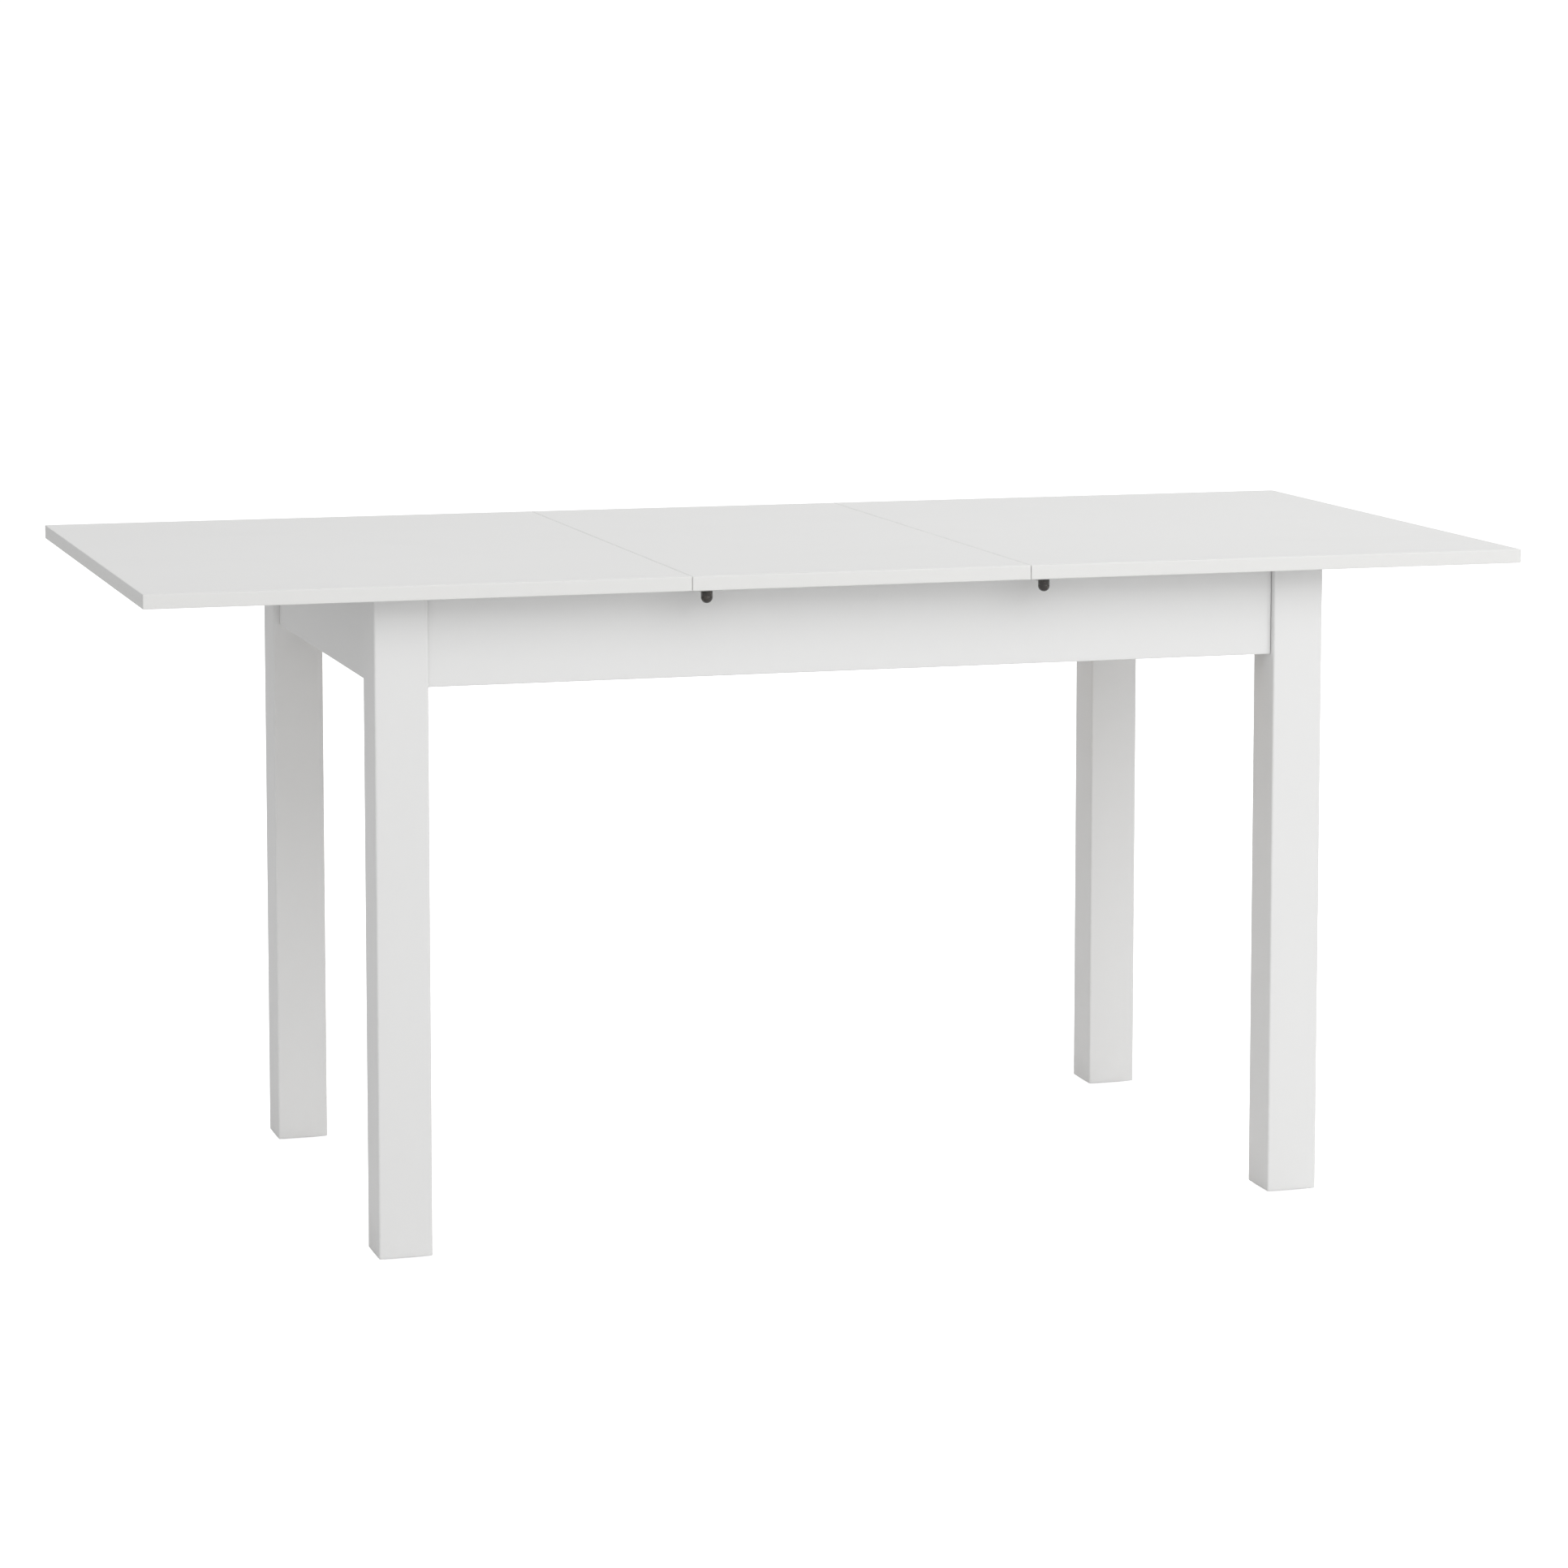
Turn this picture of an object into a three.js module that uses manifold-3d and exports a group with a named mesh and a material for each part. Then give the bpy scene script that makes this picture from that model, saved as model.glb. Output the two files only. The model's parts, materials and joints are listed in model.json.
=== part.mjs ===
// Extendable dining table with a loose middle leaf, shown drawn out with the leaf laid in.
//
// Millimetres, +Z up. X runs along the table, -Y is the front. The origin is on the floor under
// the middle of the extended top. Four legs and four aprons make the frame. Each half of the top
// hangs on two wooden runners, whose tongues slide in grooved guide rails inside the frame, and
// the leaf rests on the same slide strips as the halves. A turn catch near the front and the
// back edge holds each seam together.
import * as THREE from "three";
import { mergeVertices } from "three/addons/utils/BufferGeometryUtils.js";
import Module from "manifold-3d";

const wasm = await Module();
wasm.setup();

// ---------- driving dimensions ----------

// tabletop
const HALF_LENGTH = 600;
const LEAF_LENGTH = 392;
const TOP_DEPTH = 750;
const TOP_THICKNESS = 16;
const TABLE_HEIGHT = 750;
const SEAM_GAP = 0.6;
const TOP_EDGE_EASE = 0.6;

// frame
const CLOSED_END_OVERHANG = 46;
const FRONT_OVERHANG = 46;
const FRAME_SHIFT = 14; // the halves are drawn out unequally, so the frame stands off centre
const LEG_SIDE = 60;
const LEG_CORNER_RADIUS = 2;
const LEG_END_EASE = 1;
const APRON_HEIGHT = 100;
const APRON_THICKNESS = 18;
const APRON_INSET = 8;
const APRON_JOINT_GAP = 0.4;
const APRON_EDGE_EASE = 1;
const FOOT_GLIDE_THICKNESS = 3;
const FOOT_GLIDE_RADIUS = 14;
const SLIDE_STRIP_THICKNESS = 2;
const SLIDE_STRIP_WIDTH = 10;
const CROSS_RAIL_THICKNESS = 18;
const CROSS_RAIL_HEIGHT = 42;
const CROSS_RAIL_SPACING = 400;
const CROSS_RAIL_GAP = 0.3;
const WOOD_EDGE_EASE = 0.8;

// guide rails and runners
const GUIDE_WIDTH = 30;
const GUIDE_HEIGHT = 44;
const GUIDE_DROP = 2;
const GUIDE_END_GAP = 1;
const GROOVE_DEPTH = 12;
const GROOVE_HEIGHT = 14;
const RUNNER_THICKNESS = 18;
const RUNNER_HEIGHT = 42;
const RUNNER_LENGTH = 260;
const RUNNER_SEAM_SETBACK = 8;
const RUNNER_SIDE_CLEARANCE = 1.5;
const TONGUE_CLEARANCE = 1;

// corner braces and the bolts that draw the legs in
const BRACE_PLATE = 2.5;
const BRACE_HEIGHT = 40;
const BRACE_FLANGE = 25;
const BRACE_BOTTOM_RISE = 8;
const BRACE_LEG_CLEARANCE = 18;
const BRACE_APRON_GAP = 0.3;
const BOLT_RADIUS = 4;
const BOLT_DEPTH_IN_LEG = 30;
const BOLT_END_STAND_OUT = 5;
const BOLT_HOLE_CLEARANCE = 0.4;
const NUT_ACROSS_FLATS = 13;
const NUT_THICKNESS = 6.5;
const NUT_GAP = 0.3;

// turn catches at the seams
const CATCH_SEAM_OFFSET = 20;
const CATCH_EDGE_OFFSET = 14;
const CATCH_PLATE_THICKNESS = 1.5;
const CATCH_PLATE_LENGTH = 34;
const CATCH_PLATE_WIDTH = 12;
const CATCH_SCREW_SPACING = 22;
const CATCH_SCREW_HOLE_RADIUS = 1.8;
const CATCH_GAP = 0.3;
const ARM_THICKNESS = 2.5;
const ARM_WIDTH = 9;
const ARM_HUB_RADIUS = 5;
const ARM_TAB_THICKNESS = 2.5;
const TAB_TOP_GAP = 0.4;
const TAB_BEYOND_SEAM = 6;
const LOCK_LEAN = 25; // degrees between the locked arm and the table's length
const SHAFT_RADIUS = 2.5;
const KNOB_RADIUS = 6.5;
const KNOB_DROP = 15.5;
const KEEPER_SEAM_OFFSET = 1.5;
const KEEPER_LENGTH = 24;
const KEEPER_PLATE = 1.5;
const KEEPER_PIVOT_OFFSET = 2;
const KEEPER_DEPTH = 20;
const KEEPER_SCREW_INSET = 6.5;
const KEEPER_SCREW_SPACING = 12;
const KEEPER_SLOT_CLEARANCE = 0.6;
const KEEPER_SLOT_STEPS = 12;

// facets on round surfaces
const CORNER_SEGMENTS = 2;
const ROUND_SEGMENTS = 16;
const KNOB_SEGMENTS = 20;
const DOME_STEPS = 5;

// ---------- places that follow from them ----------

const extendedHalfLength = LEAF_LENGTH / 2 + HALF_LENGTH;
const topUnderside = TABLE_HEIGHT - TOP_THICKNESS;
const frameTop = topUnderside - SLIDE_STRIP_THICKNESS;
const frameLength = 2 * (HALF_LENGTH - CLOSED_END_OVERHANG);
const frameDepth = TOP_DEPTH - 2 * FRONT_OVERHANG;
const legX = frameLength / 2 - LEG_SIDE / 2;
const legY = frameDepth / 2 - LEG_SIDE / 2;
const legHeight = frameTop - FOOT_GLIDE_THICKNESS;
const apronBottom = frameTop - APRON_HEIGHT;
const longApronLength = frameLength - 2 * LEG_SIDE - 2 * APRON_JOINT_GAP;
const endApronLength = frameDepth - 2 * LEG_SIDE - 2 * APRON_JOINT_GAP;
const apronInnerX = frameLength / 2 - APRON_INSET - APRON_THICKNESS;
const apronInnerY = frameDepth / 2 - APRON_INSET - APRON_THICKNESS;
const guideTop = frameTop - GUIDE_DROP;
const guideInnerY = apronInnerY - GUIDE_WIDTH;
const grooveMiddle = guideTop - GUIDE_HEIGHT / 2;
const guideBottom = guideTop - GUIDE_HEIGHT;
const runnerBottom = topUnderside - RUNNER_HEIGHT;

// Each corner is a pair of signs, x then y.
const corners = {
  front_left: [-1, -1],
  front_right: [1, -1],
  back_left: [-1, 1],
  back_right: [1, 1],
};
const sides = { front: -1, back: 1 };
const ends = { left: -1, right: 1 };

// ---------- materials ----------

function material(color, roughness, metalness = 0) {
  return new THREE.MeshStandardMaterial({ color, roughness, metalness });
}

// ---------- shape helpers ----------

function addMesh(parent, name, geometry, surface, x = 0, y = 0, z = 0) {
  const mesh = new THREE.Mesh(geometry, surface);
  mesh.name = name;
  mesh.position.set(x, y, z);
  parent.add(mesh);
}

function toSolid(geometry) {
  const bare = geometry.clone();
  bare.deleteAttribute("normal");
  bare.deleteAttribute("uv");
  const merged = mergeVertices(bare, 1e-4);
  const vertProperties = new Float32Array(merged.attributes.position.array);
  const triVerts = new Uint32Array(merged.index.array);
  return new wasm.Manifold(new wasm.Mesh({ numProp: 3, vertProperties, triVerts }));
}

function toGeometry(solid) {
  const mesh = solid.getMesh();
  const geometry = new THREE.BufferGeometry();
  geometry.setAttribute("position", new THREE.BufferAttribute(mesh.vertProperties, 3));
  geometry.setIndex(new THREE.BufferAttribute(mesh.triVerts, 1));
  return geometry;
}

function circlePath(x, y, radius) {
  const path = new THREE.Path();
  path.absarc(x, y, radius, 0, 2 * Math.PI, false);
  return path;
}

function roundedRectangle(width, height, radius) {
  const x = width / 2 - radius;
  const y = height / 2 - radius;
  const quarter = Math.PI / 2;
  const shape = new THREE.Shape();
  shape.absarc(x, y, radius, 0, quarter, false);
  shape.absarc(-x, y, radius, quarter, 2 * quarter, false);
  shape.absarc(-x, -y, radius, 2 * quarter, 3 * quarter, false);
  shape.absarc(x, -y, radius, 3 * quarter, 4 * quarter, false);
  return shape;
}

// A board centred on its own origin, with the edges of its two wide faces eased.
function easedBoard(lengthX, depthY, heightZ, thinAxis, ease) {
  const spans = {
    z: [lengthX, depthY, heightZ],
    y: [lengthX, heightZ, depthY],
    x: [heightZ, depthY, lengthX],
  };
  const [width, height, thickness] = spans[thinAxis];
  const w = width / 2 - ease;
  const h = height / 2 - ease;
  const outline = [[-w, -h], [w, -h], [w, h], [-w, h]];
  const shape = new THREE.Shape(outline.map(([x, y]) => new THREE.Vector2(x, y)));
  const geometry = new THREE.ExtrudeGeometry(shape, {
    depth: thickness - 2 * ease,
    bevelThickness: ease,
    bevelSize: ease,
    bevelSegments: 2,
  });
  geometry.translate(0, 0, ease - thickness / 2);
  if (thinAxis === "y") {
    geometry.rotateX(Math.PI / 2);
  }
  if (thinAxis === "x") {
    geometry.rotateY(Math.PI / 2);
  }
  return geometry;
}

// A section drawn in Y and Z, pulled along X and centred on X = 0.
function sectionAlongX(points, length) {
  const shape = new THREE.Shape(points.map(([y, z]) => new THREE.Vector2(y, z)));
  const geometry = new THREE.ExtrudeGeometry(shape, { depth: length, bevelEnabled: false });
  geometry.translate(0, 0, -length / 2);
  const turn = new THREE.Matrix4();
  turn.set(0, 0, 1, 0, 1, 0, 0, 0, 0, 1, 0, 0, 0, 0, 0, 1);
  geometry.applyMatrix4(turn);
  return geometry;
}

// A cylinder between two points.
function rodBetween(start, end, radius) {
  const along = new THREE.Vector3().subVectors(end, start);
  const geometry = new THREE.CylinderGeometry(radius, radius, along.length(), ROUND_SEGMENTS);
  const turn = new THREE.Quaternion();
  turn.setFromUnitVectors(new THREE.Vector3(0, 1, 0), along.clone().normalize());
  geometry.applyQuaternion(turn);
  const middle = new THREE.Vector3().addVectors(start, end).multiplyScalar(0.5);
  geometry.translate(middle.x, middle.y, middle.z);
  return geometry;
}

// ---------- legs, braces and bolts ----------

const braceMiddle = apronBottom + BRACE_BOTTOM_RISE + BRACE_HEIGHT / 2;
const legInnerX = frameLength / 2 - LEG_SIDE;
const legInnerY = frameDepth / 2 - LEG_SIDE;

// A point on the diagonal of a corner, a given distance inwards from the leg's inner edge.
function onDiagonal([sideX, sideY], distance) {
  const step = distance / Math.SQRT2;
  const x = FRAME_SHIFT + sideX * (legInnerX - step);
  const y = sideY * (legInnerY - step);
  return new THREE.Vector3(x, y, braceMiddle);
}

const bracePlateMiddle = BRACE_LEG_CLEARANCE + BRACE_PLATE / 2;
const nutStart = BRACE_LEG_CLEARANCE + BRACE_PLATE + NUT_GAP;
const boltEnd = nutStart + NUT_THICKNESS + BOLT_END_STAND_OUT;
const boltStart = -BOLT_DEPTH_IN_LEG;

function legGeometry(corner) {
  const side = LEG_SIDE - 2 * LEG_END_EASE;
  const radius = LEG_CORNER_RADIUS - LEG_END_EASE;
  const shape = roundedRectangle(side, side, radius);
  const geometry = new THREE.ExtrudeGeometry(shape, {
    depth: legHeight - 2 * LEG_END_EASE,
    bevelThickness: LEG_END_EASE,
    bevelSize: LEG_END_EASE,
    bevelSegments: 2,
    curveSegments: CORNER_SEGMENTS,
  });
  const x = FRAME_SHIFT + corner[0] * legX;
  const y = corner[1] * legY;
  geometry.translate(x, y, FOOT_GLIDE_THICKNESS + LEG_END_EASE);
  const bottom = onDiagonal(corner, boltStart - BOLT_HOLE_CLEARANCE);
  const mouth = onDiagonal(corner, BRACE_LEG_CLEARANCE);
  const hole = rodBetween(bottom, mouth, BOLT_RADIUS + BOLT_HOLE_CLEARANCE);
  return toGeometry(toSolid(geometry).subtract(toSolid(hole)));
}

// A bent strip: flat on the long apron, across the corner, flat on the end apron.
function braceGeometry(corner) {
  const [sideX, sideY] = corner;
  const legCornerReach = apronInnerX - legInnerX + apronInnerY - legInnerY;
  const near = BRACE_APRON_GAP;
  const far = near + BRACE_PLATE;
  const across = legCornerReach + BRACE_LEG_CLEARANCE * Math.SQRT2;
  const acrossInner = across + BRACE_PLATE * Math.SQRT2;
  const tip = across + BRACE_FLANGE;
  const outline = [
    [across - near, near],
    [tip, near],
    [tip, far],
    [acrossInner - far, far],
    [far, acrossInner - far],
    [far, tip],
    [near, tip],
    [near, across - near],
  ];
  const points = outline.map(([u, v]) => {
    const x = FRAME_SHIFT + sideX * (apronInnerX - u);
    const y = sideY * (apronInnerY - v);
    return new THREE.Vector2(x, y);
  });
  const shape = new THREE.Shape(points);
  const geometry = new THREE.ExtrudeGeometry(shape, { depth: BRACE_HEIGHT, bevelEnabled: false });
  geometry.translate(0, 0, braceMiddle - BRACE_HEIGHT / 2);
  const start = onDiagonal(corner, bracePlateMiddle - 2 * BRACE_PLATE);
  const end = onDiagonal(corner, bracePlateMiddle + 2 * BRACE_PLATE);
  const hole = rodBetween(start, end, BOLT_RADIUS + BOLT_HOLE_CLEARANCE);
  return toGeometry(toSolid(geometry).subtract(toSolid(hole)));
}

function nutGeometry(corner) {
  const shape = new THREE.Shape();
  const cornerRadius = NUT_ACROSS_FLATS / Math.sqrt(3);
  for (let i = 0; i < 6; i += 1) {
    const angle = (i * Math.PI) / 3;
    const x = cornerRadius * Math.cos(angle);
    const y = cornerRadius * Math.sin(angle);
    if (i === 0) {
      shape.moveTo(x, y);
    } else {
      shape.lineTo(x, y);
    }
  }
  shape.holes.push(circlePath(0, 0, BOLT_RADIUS + BOLT_HOLE_CLEARANCE));
  const geometry = new THREE.ExtrudeGeometry(shape, {
    depth: NUT_THICKNESS,
    bevelEnabled: false,
    curveSegments: ROUND_SEGMENTS / 2,
  });
  const inwards = new THREE.Vector3(-corner[0], -corner[1], 0).normalize();
  const turn = new THREE.Quaternion();
  turn.setFromUnitVectors(new THREE.Vector3(0, 0, 1), inwards);
  geometry.applyQuaternion(turn);
  const place = onDiagonal(corner, nutStart);
  geometry.translate(place.x, place.y, place.z);
  return geometry;
}

// ---------- frame ----------

const table = new THREE.Group();
const white = () => material(0xeeeeec, 0.42);
const pine = () => material(0xcfae7d, 0.7);
const zinc = () => material(0xb9bcc0, 0.35, 0.9);
const paleNylon = () => material(0xe4e2dc, 0.5);

for (const [name, corner] of Object.entries(corners)) {
  const x = FRAME_SHIFT + corner[0] * legX;
  const y = corner[1] * legY;
  const glide = new THREE.CylinderGeometry(
    FOOT_GLIDE_RADIUS,
    FOOT_GLIDE_RADIUS,
    FOOT_GLIDE_THICKNESS,
    ROUND_SEGMENTS,
  );
  glide.rotateX(Math.PI / 2);
  const bolt = rodBetween(onDiagonal(corner, boltStart), onDiagonal(corner, boltEnd), BOLT_RADIUS);
  addMesh(table, `leg_${name}`, legGeometry(corner), white());
  addMesh(table, `foot_glide_${name}`, glide, paleNylon(), x, y, FOOT_GLIDE_THICKNESS / 2);
  addMesh(table, `corner_brace_${name}`, braceGeometry(corner), zinc());
  addMesh(table, `leg_bolt_${name}`, bolt, zinc());
  addMesh(table, `leg_nut_${name}`, nutGeometry(corner), zinc());
}

const apronMiddleZ = frameTop - APRON_HEIGHT / 2;
const stripMiddleZ = frameTop + SLIDE_STRIP_THICKNESS / 2;
const longApronY = frameDepth / 2 - APRON_INSET - APRON_THICKNESS / 2;
const endApronX = frameLength / 2 - APRON_INSET - APRON_THICKNESS / 2;

function guideSection(side) {
  const outer = apronInnerY;
  const inner = guideInnerY;
  const grooveBottom = grooveMiddle - GROOVE_HEIGHT / 2;
  const grooveTop = grooveMiddle + GROOVE_HEIGHT / 2;
  const grooveY = inner + GROOVE_DEPTH;
  const points = [
    [outer, guideBottom],
    [inner, guideBottom],
    [inner, grooveBottom],
    [grooveY, grooveBottom],
    [grooveY, grooveTop],
    [inner, grooveTop],
    [inner, guideTop],
    [outer, guideTop],
  ];
  return points.map(([y, z]) => [side * y, z]);
}

for (const [name, side] of Object.entries(sides)) {
  const apron = easedBoard(longApronLength, APRON_THICKNESS, APRON_HEIGHT, "y", APRON_EDGE_EASE);
  const strip = new THREE.BoxGeometry(longApronLength, SLIDE_STRIP_WIDTH, SLIDE_STRIP_THICKNESS);
  const guide = sectionAlongX(guideSection(side), longApronLength - 2 * GUIDE_END_GAP);
  addMesh(table, `apron_${name}`, apron, white(), FRAME_SHIFT, side * longApronY, apronMiddleZ);
  addMesh(table, `guide_rail_${name}`, guide, pine(), FRAME_SHIFT);
  addMesh(
    table,
    `slide_strip_${name}`,
    strip,
    paleNylon(),
    FRAME_SHIFT,
    side * longApronY,
    stripMiddleZ,
  );
}

const crossRailTop = guideBottom - CROSS_RAIL_GAP;
const crossRailMiddleZ = crossRailTop - CROSS_RAIL_HEIGHT / 2;

// A rail under the guide rails, notched where the runners that slide over it hang lower.
function crossRailGeometry() {
  const rail = easedBoard(
    CROSS_RAIL_THICKNESS,
    2 * apronInnerY,
    CROSS_RAIL_HEIGHT,
    "x",
    WOOD_EDGE_EASE,
  );
  const notchDepth = crossRailTop - runnerBottom + CROSS_RAIL_GAP;
  if (notchDepth <= 0) {
    return rail;
  }
  const notchWidth = RUNNER_THICKNESS + 2 * RUNNER_SIDE_CLEARANCE;
  const notchY = guideInnerY - notchWidth / 2;
  let notched = toSolid(rail);
  for (const side of Object.values(sides)) {
    const notch = new THREE.BoxGeometry(2 * CROSS_RAIL_THICKNESS, notchWidth, 2 * notchDepth);
    notch.translate(0, side * notchY, CROSS_RAIL_HEIGHT / 2);
    notched = notched.subtract(toSolid(notch));
  }
  return toGeometry(notched);
}

for (const [name, end] of Object.entries(ends)) {
  const apron = easedBoard(APRON_THICKNESS, endApronLength, APRON_HEIGHT, "x", APRON_EDGE_EASE);
  const strip = new THREE.BoxGeometry(SLIDE_STRIP_WIDTH, endApronLength, SLIDE_STRIP_THICKNESS);
  const crossRail = crossRailGeometry();
  const x = FRAME_SHIFT + end * endApronX;
  const crossRailX = FRAME_SHIFT + (end * CROSS_RAIL_SPACING) / 2;
  addMesh(table, `apron_${name}`, apron, white(), x, 0, apronMiddleZ);
  addMesh(table, `slide_strip_${name}`, strip, paleNylon(), x, 0, stripMiddleZ);
  addMesh(table, `cross_rail_${name}`, crossRail, pine(), crossRailX, 0, crossRailMiddleZ);
}

// ---------- tabletop halves, leaf and runners ----------

const topMiddleZ = TABLE_HEIGHT - TOP_THICKNESS / 2;
const leafPanelLength = LEAF_LENGTH - SEAM_GAP;
const halfPanelLength = HALF_LENGTH - SEAM_GAP / 2;

function topPanel(length) {
  return easedBoard(length, TOP_DEPTH, TOP_THICKNESS, "z", TOP_EDGE_EASE);
}

// An L of wood: the batten under the top, with a tongue that runs in the guide's groove.
function runnerSection(side) {
  const outer = guideInnerY - RUNNER_SIDE_CLEARANCE;
  const inner = outer - RUNNER_THICKNESS;
  const tongueTip = guideInnerY + GROOVE_DEPTH - TONGUE_CLEARANCE;
  const tongueHalf = GROOVE_HEIGHT / 2 - TONGUE_CLEARANCE;
  const points = [
    [inner, runnerBottom],
    [outer, runnerBottom],
    [outer, grooveMiddle - tongueHalf],
    [tongueTip, grooveMiddle - tongueHalf],
    [tongueTip, grooveMiddle + tongueHalf],
    [outer, grooveMiddle + tongueHalf],
    [outer, topUnderside],
    [inner, topUnderside],
  ];
  return points.map(([y, z]) => [side * y, z]);
}

addMesh(table, "insert_leaf", topPanel(leafPanelLength), white(), 0, 0, topMiddleZ);
for (const [end, sign] of Object.entries(ends)) {
  const x = sign * (extendedHalfLength - halfPanelLength / 2);
  const runnerX = sign * (LEAF_LENGTH / 2 + RUNNER_SEAM_SETBACK + RUNNER_LENGTH / 2);
  addMesh(table, `tabletop_${end}`, topPanel(halfPanelLength), white(), x, 0, topMiddleZ);
  for (const [side, sideSign] of Object.entries(sides)) {
    const runner = sectionAlongX(runnerSection(sideSign), RUNNER_LENGTH);
    addMesh(table, `runner_${end}_${side}`, runner, pine(), runnerX);
  }
}

// ---------- turn catches ----------

const plateBottom = topUnderside - CATCH_PLATE_THICKNESS;
const keeperBottom = topUnderside - KEEPER_PLATE;
const armTop = Math.min(plateBottom, keeperBottom) - CATCH_GAP;
const armBottom = armTop - ARM_THICKNESS;
const lockAngle = THREE.MathUtils.degToRad(LOCK_LEAN);
const tabMiddle = (CATCH_SEAM_OFFSET + TAB_BEYOND_SEAM) / Math.cos(lockAngle);
const tabInner = tabMiddle - ARM_TAB_THICKNESS / 2;
const armLength = tabMiddle + ARM_TAB_THICKNESS / 2;
const catchY = TOP_DEPTH / 2 - CATCH_EDGE_OFFSET;

function catchPlate() {
  const radius = CATCH_PLATE_WIDTH / 4;
  const shape = roundedRectangle(CATCH_PLATE_LENGTH, CATCH_PLATE_WIDTH, radius);
  const halfSpacing = CATCH_SCREW_SPACING / 2;
  shape.holes.push(circlePath(0, 0, SHAFT_RADIUS + CATCH_GAP));
  shape.holes.push(circlePath(-halfSpacing, 0, CATCH_SCREW_HOLE_RADIUS));
  shape.holes.push(circlePath(halfSpacing, 0, CATCH_SCREW_HOLE_RADIUS));
  return new THREE.ExtrudeGeometry(shape, {
    depth: CATCH_PLATE_THICKNESS,
    bevelEnabled: false,
    curveSegments: CORNER_SEGMENTS * 2,
  });
}

// The arm's outline seen from above, pointing along +Y, grown by a margin.
function armOutline(margin) {
  const hub = ARM_HUB_RADIUS + margin;
  const half = ARM_WIDTH / 2 + margin;
  const start = Math.acos(half / hub);
  const shape = new THREE.Shape();
  shape.moveTo(half, hub * Math.sin(start));
  shape.lineTo(half, armLength + margin);
  shape.lineTo(-half, armLength + margin);
  shape.lineTo(-half, hub * Math.sin(start));
  shape.absarc(0, 0, hub, Math.PI - start, 2 * Math.PI + start, false);
  return shape;
}

function armGeometry() {
  const outline = armOutline(0);
  outline.holes.push(circlePath(0, 0, SHAFT_RADIUS + CATCH_GAP));
  const strip = new THREE.ExtrudeGeometry(outline, {
    depth: ARM_THICKNESS,
    bevelEnabled: false,
    curveSegments: CORNER_SEGMENTS * 2,
  });
  const tabTop = topUnderside - TAB_TOP_GAP - armBottom;
  const tabHeight = tabTop - ARM_THICKNESS / 2;
  const tab = new THREE.BoxGeometry(ARM_WIDTH, ARM_TAB_THICKNESS, tabHeight);
  tab.translate(0, tabMiddle, tabTop - tabHeight / 2);
  return toGeometry(toSolid(strip).add(toSolid(tab)));
}

// A domed knob with a pocket for the arm's hub and a shaft that turns in the plate.
function knobGeometry() {
  const domeHeight = KNOB_RADIUS;
  const domeBase = -KNOB_DROP + domeHeight;
  const rim = armTop - topUnderside;
  const pocketFloor = rim - ARM_THICKNESS - CATCH_GAP;
  const profile = [];
  for (let i = 0; i <= DOME_STEPS; i += 1) {
    const angle = (i / DOME_STEPS) * (Math.PI / 2);
    const radius = KNOB_RADIUS * Math.sin(angle);
    profile.push(new THREE.Vector2(radius, domeBase - domeHeight * Math.cos(angle)));
  }
  profile.push(new THREE.Vector2(KNOB_RADIUS, rim));
  profile.push(new THREE.Vector2(SHAFT_RADIUS, rim));
  profile.push(new THREE.Vector2(SHAFT_RADIUS, -CATCH_GAP));
  profile.push(new THREE.Vector2(0, -CATCH_GAP));
  const body = new THREE.LatheGeometry(profile, KNOB_SEGMENTS);
  body.rotateX(Math.PI / 2);
  const pocketOutline = armOutline(CATCH_GAP);
  pocketOutline.holes.push(circlePath(0, 0, SHAFT_RADIUS));
  const pocket = new THREE.ExtrudeGeometry(pocketOutline, {
    depth: ARM_THICKNESS + 2 * CATCH_GAP,
    bevelEnabled: false,
    curveSegments: KNOB_SEGMENTS / 2,
  });
  pocket.translate(0, 0, pocketFloor);
  return toGeometry(toSolid(body).subtract(toSolid(pocket)));
}

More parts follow.
